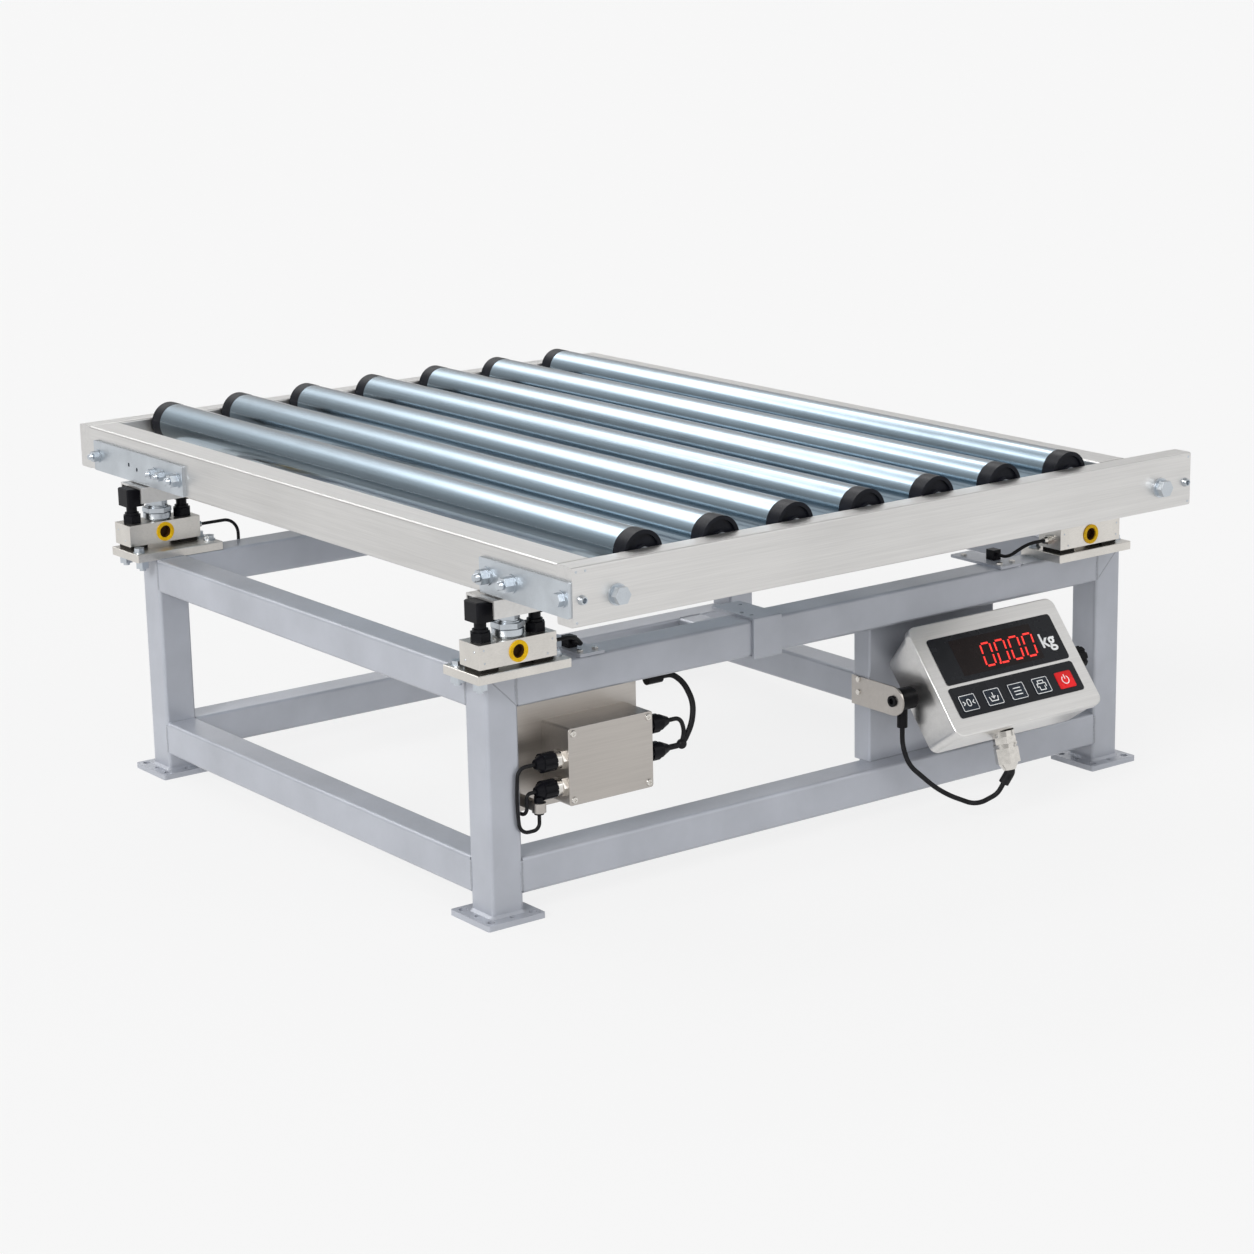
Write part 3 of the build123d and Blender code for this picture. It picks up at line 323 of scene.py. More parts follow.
def satin_steel(name, tint, along, rough=0.38):
    """Stainless sheet with its grain along one axis."""
    s = Shader(name)
    fine = [900.0, 900.0, 900.0]
    wide = [160.0, 160.0, 160.0]
    fine[along] = 14.0
    wide[along] = 2.5
    grain = s.noise(1.0, s.stretched(fine), detail=2.0)
    bands = s.noise(1.0, s.stretched(wide), detail=4.0, rough=0.7)
    cloud = s.noise(2.2, detail=3.0)
    tone = grain * 0.25 + bands * 0.3 + cloud * 0.45
    s.set(
        Base_Color=s.ramp(tone, (0.35, shade(tint, 0.87)), (0.65, shade(tint, 1.06))),
        Roughness=s.spread(tone, 0.35, 0.65, rough + 0.06, rough - 0.05),
        Normal=s.bump(grain, 0.1, 0.0001),
        Metallic=1.0,
    )
    return s.owner


def zinc_tube(tint):
    """Bright zinc on a rolled tube: bluish bands and drawing lines along it."""
    s = Shader("Zinc Tube")
    lines = s.noise(1.0, s.stretched((420.0, 1.4, 420.0)), detail=3.0, rough=0.65)
    bands = s.noise(1.0, s.stretched((62.0, 0.9, 62.0)), detail=2.0)
    spangle = s.noise(1.0, s.stretched((55.0, 18.0, 55.0)), detail=3.0)
    tone = lines * 0.3 + bands * 0.5 + spangle * 0.2
    s.set(
        Base_Color=s.ramp(
            tone,
            (0.32, shade(tint, 0.7)),
            (0.48, tint),
            (0.68, shade(tint, 1.2)),
        ),
        Roughness=s.spread(tone, 0.35, 0.65, 0.24, 0.15),
        Normal=s.bump(lines, 0.09, 0.00015),
        Metallic=1.0,
        Coat_Weight=0.7,
        Coat_Roughness=0.12,
    )
    return s.owner


def zinc_plate(tint, name="Zinc Plate"):
    """Bright zinc on pressed and turned parts, slightly cloudy and handled."""
    s = Shader(name)
    cloud = s.noise(24.0, detail=4.0)
    speck = s.noise(700.0, detail=2.0)
    tone = cloud * 0.7 + speck * 0.3
    s.set(
        Base_Color=s.ramp(tone, (0.35, shade(tint, 0.88)), (0.65, shade(tint, 1.06))),
        Roughness=s.spread(tone, 0.35, 0.65, 0.36, 0.28),
        Normal=s.bump(speck, 0.05, 0.0001),
        Metallic=1.0,
    )
    return s.owner


def bright_plate(tint):
    """Polished nickel plate on turned nuts, with faint turning rings."""
    s = Shader("Bright Plate")
    haze = s.noise(90.0, detail=3.0)
    rings = s.noise(1.0, s.stretched((300.0, 300.0, 1800.0)), detail=1.0)
    s.set(
        Base_Color=s.ramp(haze, (0.35, shade(tint, 0.9)), (0.65, shade(tint, 1.05))),
        Roughness=s.spread(haze, 0.35, 0.65, 0.22, 0.13),
        Normal=s.bump(rings, 0.03, 0.0001),
        Metallic=1.0,
    )
    return s.owner


def machined_nickel(tint):
    """Nickel-plated blocks with cutter marks across them."""
    s = Shader("Machined Nickel")
    marks = s.noise(1.0, s.stretched((260.0, 700.0, 900.0)), detail=2.0)
    cloud = s.noise(20.0, detail=3.0)
    tone = marks * 0.45 + cloud * 0.55
    s.set(
        Base_Color=s.ramp(tone, (0.35, shade(tint, 0.9)), (0.65, shade(tint, 1.05))),
        Roughness=s.spread(tone, 0.35, 0.65, 0.36, 0.28),
        Normal=s.bump(marks, 0.06, 0.0001),
        Metallic=1.0,
    )
    return s.owner


def moulded(name, tint, rough, grain=900.0):
    """Moulded plastic with a fine grain and a little scuffing."""
    s = Shader(name)
    fine = s.noise(grain, detail=2.0)
    scuff = s.noise(70.0, detail=4.0, rough=0.7)
    s.set(
        Base_Color=s.ramp(scuff, (0.35, shade(tint, 0.8)), (0.75, shade(tint, 1.35))),
        Roughness=s.spread(fine * 0.6 + scuff * 0.4, 0.3, 0.7, rough - 0.07, rough + 0.1),
        Normal=s.bump(fine, 0.2, 0.00012),
        Specular_IOR_Level=0.12,
    )
    return s.owner


def cable_sheath(tint):
    """Extruded cable sheath, faintly ribbed and dusty."""
    s = Shader("Cable Sheath")
    dust = s.noise(120.0, detail=3.0)
    fine = s.noise(1400.0, detail=1.0)
    s.set(
        Base_Color=s.ramp(dust, (0.4, tint), (0.8, shade(tint, 2.2))),
        Roughness=s.spread(dust, 0.3, 0.7, 0.36, 0.5),
        Normal=s.bump(fine, 0.2, 0.0001),
        Specular_IOR_Level=0.12,
    )
    return s.owner


def gloss_film(name, tint):
    """Printed polyester film under a hard clear face."""
    s = Shader(name)
    smear = s.noise(38.0, detail=3.0)
    fine = s.noise(1600.0, detail=1.0)
    s.set(
        Base_Color=s.ramp(smear, (0.3, shade(tint, 0.85)), (0.7, shade(tint, 1.2))),
        Roughness=s.spread(smear, 0.3, 0.7, 0.2, 0.32),
        Normal=s.bump(fine, 0.05, 0.00005),
        Specular_IOR_Level=0.2,
    )
    return s.owner


def lit_segment(tint, glow):
    """A lit display segment with a faint grain."""
    s = Shader("Lit Segment")
    grain = s.noise(500.0, detail=2.0)
    s.set(
        Base_Color=shade(tint, 0.5),
        Roughness=s.spread(grain, 0.3, 0.7, 0.3, 0.4),
        Emission_Color=s.ramp(grain, (0.3, shade(tint, 0.9)), (0.7, tint)),
        Emission_Strength=glow,
    )
    return s.owner


def circuit_board():
    """Green solder mask over copper lanes."""
    s = Shader("Circuit Board")
    lanes = s.noise(1.0, s.stretched((500.0, 60.0, 90.0)), detail=1.0)
    s.set(
        Base_Color=s.ramp(lanes, (0.48, (0.01, 0.09, 0.03)), (0.52, (0.03, 0.2, 0.07))),
        Roughness=s.spread(lanes, 0.4, 0.6, 0.3, 0.42),
        Normal=s.bump(lanes, 0.3, 0.0001),
    )
    return s.owner


# Mesh making


class Shape:
    """A mesh that is built up in the frame's own metres, then placed on a body."""

    def __init__(self, name):
        self.name = name
        self.mesh = bmesh.new()

    def skin(self, rings, closed=True, capped=True):
        """Joins rings of points with quads, and closes the first and last ring."""
        rows = [[self.mesh.verts.new(point) for point in ring] for ring in rings]
        for low, high in zip(rows, rows[1:]):
            count = len(low)
            for i in range(count if closed else count - 1):
                j = (i + 1) % count
                self.mesh.faces.new((low[i], low[j], high[j], high[i]))
        if capped:
            self.mesh.faces.new(list(reversed(rows[0])))
            self.mesh.faces.new(rows[-1])

    def turned(self, at, profile, sides=32):
        """Turns (radius, height) pairs about the local Z axis of a placement."""
        rings = []
        for radius, height in profile:
            ring = []
            for i in range(sides):
                angle = tau * i / sides
                ring.append(at @ Vector((radius * cos(angle), radius * sin(angle), height)))
            rings.append(ring)
        self.skin(rings)

    def slab(self, at, outline, low, high):
        """Raises a flat outline between two heights of a placement."""
        rings = [[at @ Vector((u, v, height)) for u, v in outline] for height in (low, high)]
        self.skin(rings)

    def ribbon(self, at, path, width, low, high, closed=False):
        """A raised line of even width along a flat path."""
        left, right = [], []
        count = len(path)
        for i, point in enumerate(path):
            before = path[(i - 1) % count] if closed or i else point
            after = path[(i + 1) % count] if closed or i < count - 1 else point
            go_in = (Vector(point) - Vector(before)).normalized() if i or closed else None
            go_out = (Vector(after) - Vector(point)).normalized() if closed or i < count - 1 else None
            run = ((go_in or go_out) + (go_out or go_in)).normalized()
            side = Vector((-run.y, run.x))
            if go_in and go_out:
                reach = width / 2 / max(0.5, side.dot(Vector((-go_in.y, go_in.x))))
            else:
                reach = width / 2
            left.append(Vector(point) + side * reach)
            right.append(Vector(point) - side * reach)
        sections = []
        for a, b in zip(left, right):
            corners = ((a, low), (b, low), (b, high), (a, high))
            sections.append([at @ Vector((p.x, p.y, height)) for p, height in corners])
        if closed:
            sections.append(sections[0])
            self.skin(sections, capped=False)
        else:
            self.skin(sections)

    def bead(self, start, end, outward, width, height, step=0.0018):
        """A run of weld metal between two points, with the ripples of its laying."""
        start, end = Vector(start), Vector(end)
        run = (end - start).normalized()
        up = Vector(outward).normalized()
        side = run.cross(up)
        count = max(2, int((end - start).length / step))
        rings = []
        for i in range(count + 1):
            ripple = 0.5 + 0.5 * sin(i * 1.9)
            wander = 0.06 * sin(i * 0.37) + 0.04 * sin(i * 0.83)
            fade = min(1.0, 0.35 + 0.35 * min(i, count - i))
            middle = start.lerp(end, i / count) + side * (wander * width)
            half = width / 2 * (0.92 + 0.08 * ripple)
            tall = height * (0.7 + 0.3 * ripple) * fade
            ring = []
            for k in range(7):
                angle = pi * k / 6
                ring.append(middle + side * (half * cos(angle)) + up * (tall * sin(angle)))
            ring.append(middle - side * half - up * height)
            ring.append(middle + side * half - up * height)
            rings.append(ring)
        self.skin(rings)

    def settle(self, body, slot, finish, smooth=False):
        """Writes the mesh, and puts its piece on a body with its slot and finish."""
        bmesh.ops.recalc_face_normals(self.mesh, faces=self.mesh.faces)
        data = bpy.data.meshes.new(self.name)
        self.mesh.to_mesh(data)
        self.mesh.free()
        if smooth:
            data.shade_smooth()
            data.set_sharp_from_angle(angle=radians(40))
        data.materials.append(finish)
        piece = bpy.data.objects.new(self.name, data)
        bpy.context.collection.objects.link(piece)
        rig.ride(piece, body)
        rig.slot(piece, slot)


def rounded(width, height, radius, centre=(0.0, 0.0), steps=6):
    """The outline of a rectangle with round corners."""
    points = []
    for cx, cy, first in ((1, 1, 0), (-1, 1, 90), (-1, -1, 180), (1, -1, 270)):
        for i in range(steps + 1):
            angle = radians(first + 90 * i / steps)
            x = centre[0] + cx * (width / 2 - radius) + radius * cos(angle)
            y = centre[1] + cy * (height / 2 - radius) + radius * sin(angle)
            points.append((x, y))
    return points


def arc(centre, radius, first, last, steps=20):
    """Points along part of a circle, with its angles in degrees."""
    points = []
    for i in range(steps + 1):
        angle = radians(first + (last - first) * i / steps)
        points.append((centre[0] + radius * cos(angle), centre[1] + radius * sin(angle)))
    return points


def facing(at, direction):
    """A placement at a point, with its local Z along a direction."""
    turn = Vector(direction).to_track_quat("Z", "Y").to_matrix().to_4x4()
    return Matrix.Translation(at) @ turn


def dress(finish, *nodes):
    """Gives CAD nodes their finish."""
    for name in nodes:
        for slot in frame["nodes"][name].material_slots:
            slot.material = finish


# What a user may change


class StudioSizes(bpy.types.PropertyGroup):
    key_light: FloatProperty(
        name="Key Light", description="Strength of the main soft sun", default=1.9, min=0
    )
    fill_light: FloatProperty(
        name="Fill Light", description="Strength of the second soft sun", default=0.4, min=0
    )
    sky: FloatProperty(
        name="Surroundings", description="Strength of the surroundings", default=0.33, min=0
    )
    floor_tint: FloatVectorProperty(
        name="Floor", description="Colour of the floor", subtype="COLOR", default=(0.55, 0.55, 0.55)
    )


class FrameSizes(bpy.types.PropertyGroup):
    paint: FloatVectorProperty(
        name="Paint",
        description="Colour of the frame's enamel",
        subtype="COLOR",
        default=(0.44, 0.46, 0.51),
    )
    bead_width: FloatProperty(
        name="Bead Width", description="Width of the welds", default=4.6 * MM, unit="LENGTH", min=0
    )


class MetalSizes(bpy.types.PropertyGroup):
    steel: FloatVectorProperty(
        name="Stainless",
        description="Colour of the stainless sheet",
        subtype="COLOR",
        default=(0.7, 0.692, 0.68),
    )
    zinc: FloatVectorProperty(
        name="Zinc",
        description="Colour of the zinc on plates and bolts",
        subtype="COLOR",
        default=(0.56, 0.60, 0.64),
    )
    box: FloatVectorProperty(
        name="Box",
        description="Colour of the box's blasted sheet",
        subtype="COLOR",
        default=(0.5, 0.47, 0.44),
    )
    roller: FloatVectorProperty(
        name="Rollers",
        description="Colour of the rollers' zinc",
        subtype="COLOR",
        default=(0.22, 0.29, 0.345),
    )
    nickel: FloatVectorProperty(
        name="Nickel",
        description="Colour of the weigh modules",
        subtype="COLOR",
        default=(0.7, 0.675, 0.635),
    )
    pin_radius: FloatProperty(
        name="Pin Radius",
        description="Radius of the small screw heads",
        default=1.7 * MM,
        unit="LENGTH",
        min=0,
    )


class DisplaySizes(bpy.types.PropertyGroup):
    digit: FloatVectorProperty(
        name="Digits",
        description="Colour of the lit digits",
        subtype="COLOR",
        default=(1.0, 0.03, 0.02),
    )
    glow: FloatProperty(name="Glow", description="Strength of the digits' light", default=1.0, min=0)
    line: FloatProperty(
        name="Line", description="Width of the printed lines", default=0.9 * MM, unit="LENGTH", min=0
    )


class ScaleSizes(bpy.types.PropertyGroup):
    studio: PointerProperty(type=StudioSizes, name="Studio", description="Lights and floor")
    base: PointerProperty(type=FrameSizes, name="Frame", description="Painted frame")
    metal: PointerProperty(type=MetalSizes, name="Metals", description="Bare and plated metals")
    display: PointerProperty(type=DisplaySizes, name="Display", description="Indicator's face")


# Studio surroundings: brightness by the sine of their height over the horizon, in front and behind
FRONT_SKY = (
    (0.0, 1.4),
    (0.4, 1.6),
    (0.5, 4.0),
    (0.57, 4.0),
    (0.65, 1.6),
    (0.74, 1.6),
    (0.82, 0.9),
    (0.92, 1.2),
    (1.0, 2.4),
)
BACK_SKY = (
    (0.0, 1.2),
    (0.15, 1.3),
    (0.25, 1.5),
    (0.34, 1.9),
    (0.43, 2.5),
    (0.51, 3.2),
    (0.56, 6.0),
    (0.585, 15.0),
    (0.64, 15.0),
    (0.69, 3.0),
    (0.78, 0.9),
    (0.92, 1.2),
    (1.0, 2.4),
)


# Operators


class SCALE_OT_stage(bpy.types.Operator):
    """Floor, soft lights, pale surroundings and the camera"""

    bl_idname = "scale.stage"
    bl_label = "Studio"

    def execute(self, context):
        sizes = context.scene.conveyor_scale.studio
        scene = context.scene
        scene.view_settings.view_transform = "Standard"
        self.floor(sizes)
        self.surroundings(scene, sizes)
        self.sun("Key Light", sizes.key_light, (-1.0, -0.38, 0.6), 24)
        self.sun("Fill Light", sizes.fill_light, (0.35, -1.0, 0.35), 60)
        self.camera(scene)
        return {"FINISHED"}

    def floor(self, sizes):
        s = Shader("Studio Floor")
        s.set(Base_Color=sizes.floor_tint[:], Roughness=0.9)
        ray = s.node("LightPath")
        made = ray.socket.node.outputs
        seen = Wire(s, made["Is Camera Ray"]) + Wire(s, made["Is Glossy Ray"])
        seen = (seen + Wire(s, made["Is Transmission Ray"]) > 0.5) * FLOOR_WHITE
        white = s.node("Emission", None, {"Color": (1.0, 1.0, 1.0)})
        mixed = s.node("MixShader", None, {0: seen, 1: Wire(s, s.surface.outputs[0]), 2: white})
        s.feed(s.tree.nodes["Material Output"].inputs["Surface"], mixed)
        mesh = bmesh.new()
        bmesh.ops.create_circle(mesh, cap_ends=True, segments=64, radius=80.0)
        data = bpy.data.meshes.new("Studio_Floor")
        mesh.to_mesh(data)
        mesh.free()
        data.materials.append(s.owner)
        floor = bpy.data.objects.new("Studio_Floor", data)
        bpy.context.collection.objects.link(floor)
        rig.stage(floor)

    def surroundings(self, scene, sizes):
        """Pale all round, with a long soft light high behind the deck and a weaker one in front."""
        scene.world = scene.world or bpy.data.worlds.new("Studio")
        s = Shader("Studio", scene.world)
        where = s.node("TexCoord", out="Generated")
        height = s.node("SeparateXYZ", None, {"Vector": where}, out="Z")
        behind = s.spread(Wire(s, height.socket.node.outputs["Y"]), 0.5, 0.68, 0.0, 1.0)
        front, back = [
            s.ramp(height, *[(place, (level, level, level)) for place, level in levels])
            for levels in (FRONT_SKY, BACK_SKY)
        ]
        lit = s.blend(behind, front, back)
        plain = (BACKGROUND / sizes.sky,) * 3
        backdrop = s.tree.nodes["Background"]
        s.feed(backdrop.inputs["Color"], s.blend(s.node("LightPath", out="Is Camera Ray"), lit, plain))
        s.feed(backdrop.inputs["Strength"], sizes.sky)

    def sun(self, name, strength, towards, angle):
        """A sun whose light comes from a direction, and spreads over an angle in degrees."""
        data = bpy.data.lights.new(name, "SUN")
        data.energy = strength
        data.angle = radians(angle)
        lamp = bpy.data.objects.new(name, data)
        lamp.matrix_world = facing((0, 0, 3), towards)
        bpy.context.collection.objects.link(lamp)

    def camera(self, scene):
        data = bpy.data.cameras.new("Camera")
        data.lens = CAMERA_LENS
        data.clip_end = 200.0
        camera = bpy.data.objects.new("Camera", data)
        turn = Matrix.Rotation(CAMERA_TURN, 4, "Z") @ Matrix.Rotation(pi / 2 - CAMERA_LOOKS_DOWN, 4, "X")
        turn = turn @ Matrix.Rotation(CAMERA_ROLL, 4, "Z")
        camera.matrix_world = Matrix.Translation(CAMERA_AT) @ turn
        bpy.context.collection.objects.link(camera)
        scene.camera = camera


class SCALE_OT_base(bpy.types.Operator):
    """Painted frame with its welds"""

    bl_idname = "scale.base"
    bl_label = "Painted Frame"

    def execute(self, context):
        sizes = context.scene.conveyor_scale.base
        paint = silver_enamel(sizes.paint)
        dress(paint, "legs", "top_rails", "low_rails", "tie_rail")
        dress(paint, "rail_saddle", "indicator_post", "cable_plates")
        # The weld beads take a darker copy of the frame enamel: painted shade for the creases where the beads meet the
        # tubes.
        bead = silver_enamel(shade(sizes.paint, 0.72), "Weld Enamel Painted Shade")
        self.welds(sizes.bead_width).settle("base_frame", "frame_paint", bead, smooth=True)
        return {"FINISHED"}

    def welds(self, width):
        """Beads where rails meet legs, at both ends of the post and tie rail, and the mitres."""
        shape = Shape("Weld_Beads")
        flat, tall = 0.9 * MM, 1.2 * MM
        half, run = TUBE / 2, TUBE / 2 - 4 * MM
        for sx in (-1, 1):
            for sy in (-1, 1):
                for z in (LOW_RAIL_Z, TOP_RAIL_Z):
                    x, y = sx * (IN_X + 2.5 * MM), sy * OUT_Y
                    shape.bead((x, y, z - run), (x, y, z + run), (0, sy, 0), width, flat)
                    x = sx * (IN_X + 0.5 * MM)
                    for side in (1, -1):
                        edge = z + side * half
                        start, end = (x, sy * (IN_Y + 5 * MM), edge), (x, sy * (OUT_Y - 5 * MM), edge)
                        shape.bead(start, end, (-sx * 0.7, 0, side), width * 0.7, flat)
                    if sx < 0 or z == TOP_RAIL_Z:
                        x, y = sx * OUT_X, sy * (IN_Y + 2.5 * MM)
                        shape.bead((x, y, z - run), (x, y, z + run), (sx, 0, 0), width, flat)
                        y = sy * (IN_Y + 0.5 * MM)
                        for side in (1, -1):
                            edge = z + side * half
                            start, end = (sx * (IN_X + 5 * MM), y, edge), (sx * (OUT_X - 5 * MM), y, edge)
                            shape.bead(start, end, (0, -sy * 0.7, side), width * 0.7, flat)
                self.mitre(shape, sx, sy)
        ends = ((LOW_RAIL_Z + half, 1), (TOP_RAIL_Z - half, -1))
        back = -IN_Y - 0.5 * MM
        for x, side in ((POST_LEFT, -1), (POST_RIGHT, 1)):
            for z, up in ends:
                start, end = (x, POST_FRONT + 0.5 * MM, z), (x, back, z)
                shape.bead(start, end, (side, 0, up), width * 0.9, tall)
        for z, up in ends:
            start, end = (POST_LEFT + 3 * MM, POST_FRONT, z), (POST_RIGHT - 3 * MM, POST_FRONT, z)
            shape.bead(start, end, (0, -1, up), width * 0.9, tall)
        top = LOW_RAIL_Z + half
        for sy in (-1, 1):
            y = sy * IN_Y
            for side in (-1, 1):
                x = TIE_X + side * half
                start, end = (x, y, LOW_RAIL_Z - run), (x, y, LOW_RAIL_Z + run)
                shape.bead(start, end, (side, -sy, 0), width, tall)
            shape.bead((TIE_X - run, y, top), (TIE_X + run, y, top), (0, -sy, 1), width, tall)
        return shape

    def mitre(self, shape, sx, sy):
        """The ground seam over a corner of the top rails."""
        start = (sx * (OUT_X - 4 * MM), sy * OUT_Y, FRAME_TOP - 4 * MM)
        end = (sx * (OUT_X - 47 * MM), sy * OUT_Y, FRAME_TOP - 47 * MM)
        shape.bead(start, end, (0, sy, 0), 1.8 * MM, 0.35 * MM, step=0.003)


class SCALE_OT_deck(bpy.types.Operator):
    """Stainless deck members, tie plates and bolts"""

    bl_idname = "scale.deck"
    bl_label = "Deck"

    def execute(self, context):
        sizes = context.scene.conveyor_scale.metal
        across = satin_steel("Satin Steel Across", sizes.steel, 0)
        along = satin_steel("Satin Steel Along", sizes.steel, 1)
        plate = zinc_plate(sizes.zinc)
        dress(across, "deck_front", "deck_rear")
        dress(along, "deck_left", "deck_right", "load_channels")
        dress(plate, "corner_plates", "deck_bolts", "roller_shafts")
        self.pins(sizes).settle("live_deck", "zinc", plate, smooth=True)
        self.threads().settle("live_deck", "zinc", plate, smooth=True)
        return {"FINISHED"}

    def pins(self, sizes):
        """Small rivets near the front and rear members' ends."""
        shape = Shape("Deck_Pins")
        r = sizes.pin_radius
        inset = 6 * MM
        for node, sy in (("deck_front", -1), ("deck_rear", 1)):
            low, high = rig.box(node)
            face = low.y if sy < 0 else high.y
            left, right, foot, top = low.x + inset, high.x - inset, low.z + inset, high.z - inset
            spots = ((left, top), (left + 14 * MM, top), (left, foot), (right, top), (right, foot))
            for x, z in spots:
                at = facing((x, face, z), (0, sy, 0))
                shape.turned(at, ((r, -0.0004), (r, 0.0003), (r * 0.6, 0.0007)), sides=16)
        return shape

    def threads(self):
        """Threaded ends that stand out of the nuts on the deck's left end."""
        shape = Shape("Bolt_Threads")
        for y, reach, r in END_BOLTS:
            at = facing((1 * MM - reach, y, BOLT_Z), (-1, 0, 0))
            profile = [(r * MM, -0.002)]
            for k in range(5):
                profile.append((r * MM, 0.0005 + k * 0.0014))
                profile.append(((r - 0.6) * MM, 0.0012 + k * 0.0014))
            profile.append(((r - 1.0) * MM, 0.0076))
            shape.turned(at, profile, sides=24)
        return shape


class SCALE_OT_rollers(bpy.types.Operator):
    """Zinc rollers with their black end caps"""

    bl_idname = "scale.rollers"
    bl_label = "Rollers"

    def execute(self, context):
        sizes = context.scene.conveyor_scale.metal
        tube = zinc_tube(sizes.roller)
        cap = moulded("Roller Cap", (0.008, 0.009, 0.013), 0.3)
        rows = [name for name in frame["nodes"] if name.startswith("roller_") and name.endswith("_tube")]
        for name in rows:
            dress(tube, name)
            dress(cap, name.replace("_tube", "_caps"))
        return {"FINISHED"}


class SCALE_OT_modules(bpy.types.Operator):
    """Weigh modules: blocks, plates, seals, stops and feet"""

    bl_idname = "scale.modules"
    bl_label = "Weigh Modules"

    def execute(self, context):
        sizes = context.scene.conveyor_scale.metal
        nickel = machined_nickel(sizes.nickel)
        foot = zinc_plate(sizes.zinc, "Zinc Foot")
        dress(nickel, "module_plates", "load_beams")
        dress(foot, "load_feet", "module_bolts")
        dress(moulded("Spacer Shim", (0.02, 0.018, 0.016), 0.5), "beam_spacers")
        dress(moulded("Yellow Seal", (0.84, 0.47, 0.01), 0.38), "beam_rings")
        dress(moulded("Stop Black", (0.006, 0.006, 0.008), 0.34, grain=700.0), "stop_posts")
        self.screws(sizes).settle("base_frame", "zinc", foot, smooth=True)
        # The bore cups' dark brown is partly the seal's own colour and partly painted shade inside the bores.
        seal_and_shade = moulded("Bore Seal And Painted Shade", (0.05, 0.022, 0.006), 0.5)
        self.seals().settle("base_frame", "black_plastic", seal_and_shade, smooth=True)
        return {"FINISHED"}

    def seals(self):
        """Dark brown cups in the bores of the load beams: partly the seal's own colour, partly painted shade for the
        depth of the bore.
        """
        shape = Shape("Bore_Seals_And_Shade")
        cup = ((9.0, -0.5), (9.0, 8.0), (7.6, 8.0), (7.4, 1.2), (0.6, 0.9))
        for x in MODULE_XS:
            for sy in (-1, 1):
                for out in (sy, -sy):
                    at = facing((x, sy * MODULE_Y + out * SEAL_OUT, BORE_Z), (0, out, 0))
                    shape.turned(at, [(r * MM, h * MM) for r, h in cup])
        return shape

    def screws(self, sizes):
        """Small set screws in the blocks and plates."""
        shape = Shape("Module_Screws")
        r = sizes.pin_radius * 0.85
        head = ((r, -0.0005), (r, 0.0002), (r * 0.7, 0.0006))
        for x, s in zip(MODULE_XS, (1, -1)):
            for sy in (-1, 1):
                for dx, dz in ((-52, -8), (-53, 9), (53, 7), (45, -11)):
                    at = facing((x + s * dx * MM, sy * BEAM_FACE, BORE_Z + dz * MM), (0, sy, 0))
                    shape.turned(at, head, sides=16)
                for dy, dz in ((12, 6), (-9, -8)):
                    y = sy * (MODULE_Y + dy * MM)
                    at = facing((x - s * BEAM_END, y, BORE_Z + dz * MM), (-s, 0, 0))
                    shape.turned(at, head, sides=16)
        return shape


class SCALE_OT_boxes(bpy.types.Operator):
    """Junction box with its glands"""

    bl_idname = "scale.boxes"
    bl_label = "Junction Box"

    def execute(self, context):
        sizes = context.scene.conveyor_scale.metal
        steel = satin_steel("Box Steel", sizes.box, 0, rough=0.36)
        bright = bright_plate(sizes.nickel)
        dress(steel, "jbox_body", "jbox_lid", "jbox_hanger")
        dress(bright, "gland_nuts", "small_screws")
        dress(moulded("Gland Black", (0.005, 0.005, 0.007), 0.3), "gland_caps")
        dress(circuit_board(), "jbox_board", "indicator_board")
        return {"FINISHED"}


class SCALE_OT_cables(bpy.types.Operator):
    """Black cables"""

    bl_idname = "scale.cables"
    bl_label = "Cables"

    def execute(self, context):
        dress(cable_sheath((0.01, 0.01, 0.011)), "box_cables", "cell_cables", "indicator_cable")
        return {"FINISHED"}


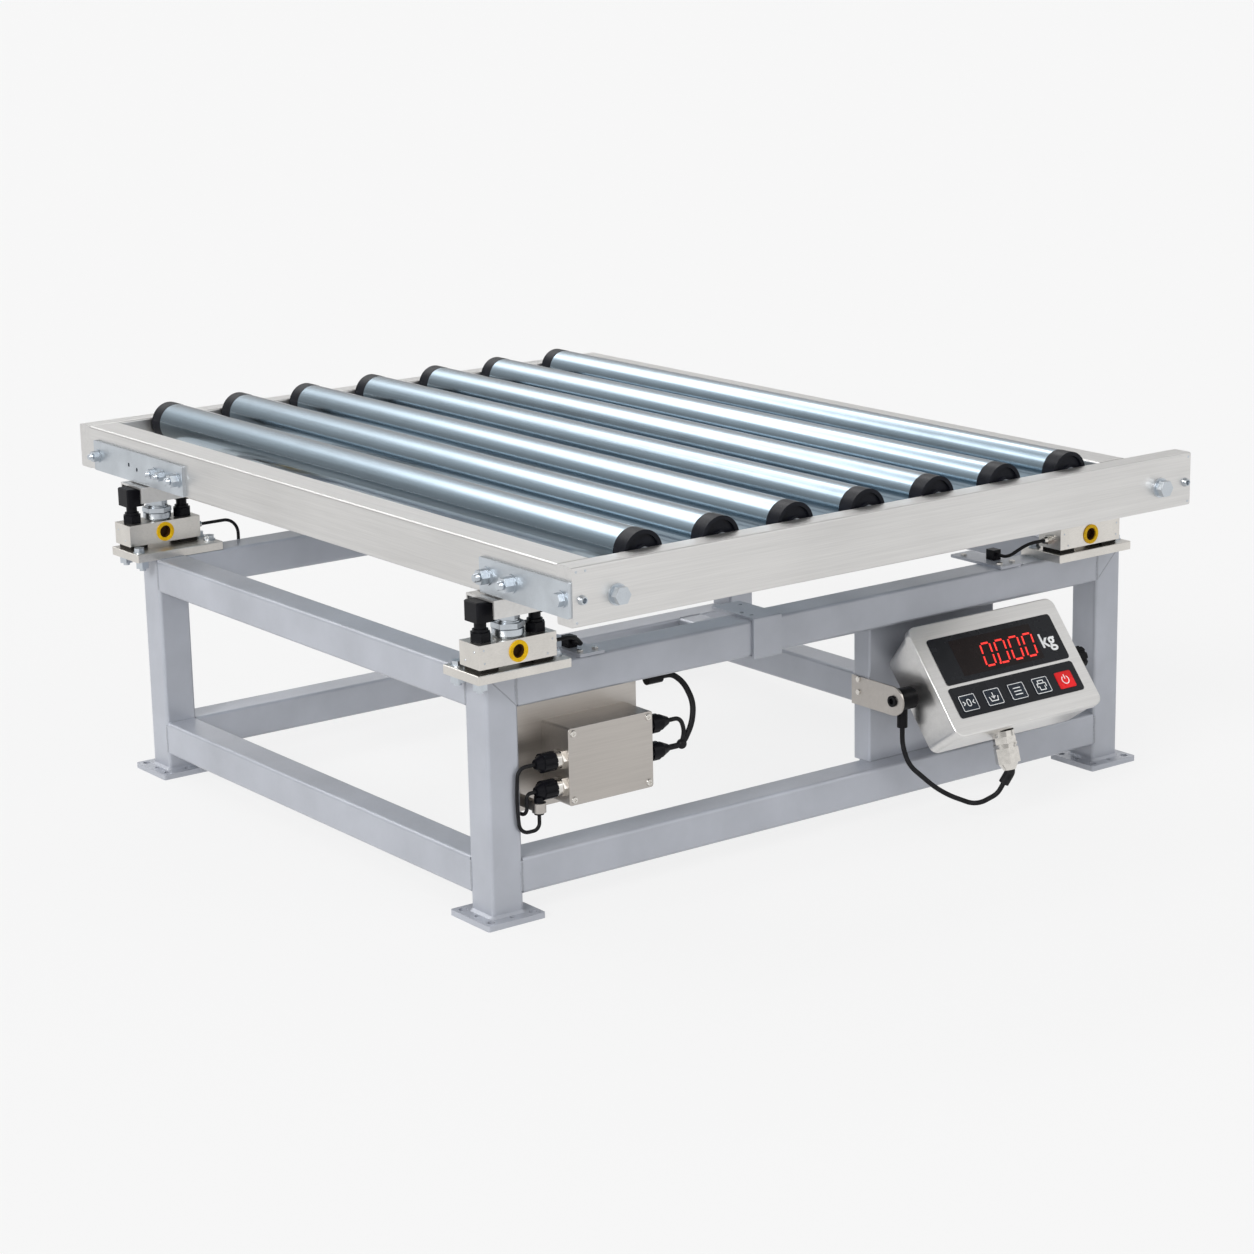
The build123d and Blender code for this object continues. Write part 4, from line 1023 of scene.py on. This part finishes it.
class SCALE_OT_indicator(bpy.types.Operator):
    """Indicator: case, display, keys and printed marks"""

    bl_idname = "scale.indicator"
    bl_label = "Indicator"

    def execute(self, context):
        metal = context.scene.conveyor_scale.metal
        sizes = context.scene.conveyor_scale.display
        steel = satin_steel("Housing Steel", metal.steel, 0, rough=0.33)
        dress(steel, "indicator_case", "indicator_bezel")
        dress(bpy.data.materials["Box Steel"], "indicator_yoke")
        dress(bpy.data.materials["Bright Plate"], "indicator_gland")
        dress(moulded("Pivot Black", (0.005, 0.005, 0.006), 0.36), "pivot_knobs")
        film = gloss_film("Black Film", (0.009, 0.01, 0.013))
        dress(film, "display_window", "keypad_panel")
        dress(gloss_film("Slate Key", (0.014, 0.02, 0.03)), *KEYS[:4])
        dress(gloss_film("Red Key", (0.72, 0.012, 0.015)), KEYS[4])
        dress(lit_segment(sizes.digit, sizes.glow), "display_digits")
        ink = gloss_film("White Print", (0.82, 0.83, 0.84))
        self.pane()
        self.unit_mark(ink)
        self.key_marks(sizes.line, ink)
        return {"FINISHED"}

    def pane(self):
        """The smoked pane over the digits."""
        shape = Shape("Display_Pane")
        outline = rounded(*PANE_SIZE, 1.5 * MM, PANE_MIDDLE, 2)
        shape.slab(FACE, outline, 0.7 * MM, 0.88 * MM)
        smoked = gloss_film("Smoked Pane", (0.006, 0.002, 0.002))
        shape.settle("indicator", "display_black", smoked)

    def unit_mark(self, ink):
        """The unit of weight, printed beside the digits."""
        data = bpy.data.curves.new("Unit", "FONT")
        data.body = "kg"
        data.size = UNIT_HEIGHT
        data.extrude = 0.08 * MM
        data.offset = 0.6 * MM
        data.resolution_u = 6
        text = bpy.data.objects.new("Unit", data)
        bpy.context.collection.objects.link(text)
        mesh = bpy.data.meshes.new_from_object(text.evaluated_get(bpy.context.evaluated_depsgraph_get()))
        bpy.data.objects.remove(text)
        mesh.transform(FACE @ Matrix.Translation(UNIT_PLACE))
        mesh.materials.clear()
        mesh.materials.append(ink)
        piece = bpy.data.objects.new("Unit_Mark", mesh)
        bpy.context.collection.objects.link(piece)
        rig.ride(piece, "indicator")
        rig.slot(piece, "display_black")

    def key_marks(self, line, ink):
        """A printed border on each black key, and a plain pictogram on every key."""
        low, high = KEY_TOP - 0.1 * MM, KEY_TOP + 0.1 * MM
        for i, name in enumerate(KEYS):
            at = FACE @ Matrix.Translation(((FIRST_KEY + KEY_PITCH * i) * MM, KEY_ROW, 0))
            shape = Shape("Key_Print_%d" % (i + 1))
            if i < 4:
                shape.ribbon(at, rounded(0.0285, 0.0235, 0.002), line, low, high, closed=True)
            for path, closed in PICTOGRAMS[i]:
                shape.ribbon(at, path, line * 1.5, low, KEY_TOP + 0.12 * MM, closed)
            shape.settle(name + "_button", "display_black" if i < 4 else "key_red", ink)


def mm_path(*points):
    """A flat path that is written in millimetres."""
    return [(x * MM, y * MM) for x, y in points]


PICTOGRAMS = (
    # back to zero: a nought between two arrow heads
    (
        (rounded(6 * MM, 10 * MM, 2.6 * MM), True),
        (mm_path((-10.5, 3), (-7, 0), (-10.5, -3)), False),
        (mm_path((10.5, 3), (7, 0), (10.5, -3)), False),
    ),
    # take off the container: an open tray with an arrow down into it
    (
        (mm_path((-8, 1), (-6, -6), (6, -6), (8, 1)), False),
        (mm_path((0, 7), (0, -2)), False),
        (mm_path((-3.5, 1.5), (0, -2), (3.5, 1.5)), False),
    ),
    # choose: three lines
    (
        (mm_path((-7, 5), (7, 5)), False),
        (mm_path((-7, 0), (7, 0)), False),
        (mm_path((-7, -5), (7, -5)), False),
    ),
    # print: a sheet that leaves a box
    (
        (mm_path((-8, -3), (-8, 3), (8, 3), (8, -3)), False),
        (mm_path((-5, 3), (-5, 7.5), (5, 7.5), (5, 3)), False),
        (mm_path((-5, -1), (-5, -7), (5, -7), (5, -1)), False),
    ),
    # on and off: a broken ring with a bar
    (
        (arc((0, 0), 6.2 * MM, 125, 415, 28), False),
        (mm_path((0, 8.2), (0, 1.2)), False),
    ),
)

OPERATORS = (
    SCALE_OT_stage,
    SCALE_OT_base,
    SCALE_OT_deck,
    SCALE_OT_rollers,
    SCALE_OT_modules,
    SCALE_OT_boxes,
    SCALE_OT_cables,
    SCALE_OT_indicator,
)


class SCALE_PT_steps(bpy.types.Panel):
    """Lists the steps that dress the scale"""

    bl_label = "Conveyor Scale"
    bl_idname = "SCALE_PT_steps"
    bl_space_type = "VIEW_3D"
    bl_region_type = "UI"
    bl_category = "Scale"

    def draw(self, context):
        for step in OPERATORS:
            self.layout.operator(step.bl_idname)


CLASSES = (StudioSizes, FrameSizes, MetalSizes, DisplaySizes, ScaleSizes) + OPERATORS + (SCALE_PT_steps,)


def register():
    for made in CLASSES:
        bpy.utils.register_class(made)
    bpy.types.Scene.conveyor_scale = PointerProperty(type=ScaleSizes)


def unregister():
    del bpy.types.Scene.conveyor_scale
    for made in reversed(CLASSES):
        bpy.utils.unregister_class(made)


def main():
    register()
    bpy.ops.scale.stage()
    bpy.ops.scale.base()
    bpy.ops.scale.deck()
    bpy.ops.scale.rollers()
    bpy.ops.scale.modules()
    bpy.ops.scale.boxes()
    bpy.ops.scale.cables()
    bpy.ops.scale.indicator()
    sizes = {
        "cad": [list(corner) for corner in CAD_BOX],
        "visual": [list(corner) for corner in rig.bounds()],
    }
    with open("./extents.json", "w") as out:
        json.dump(sizes, out, indent=1)


if __name__ == "__main__":
    main()
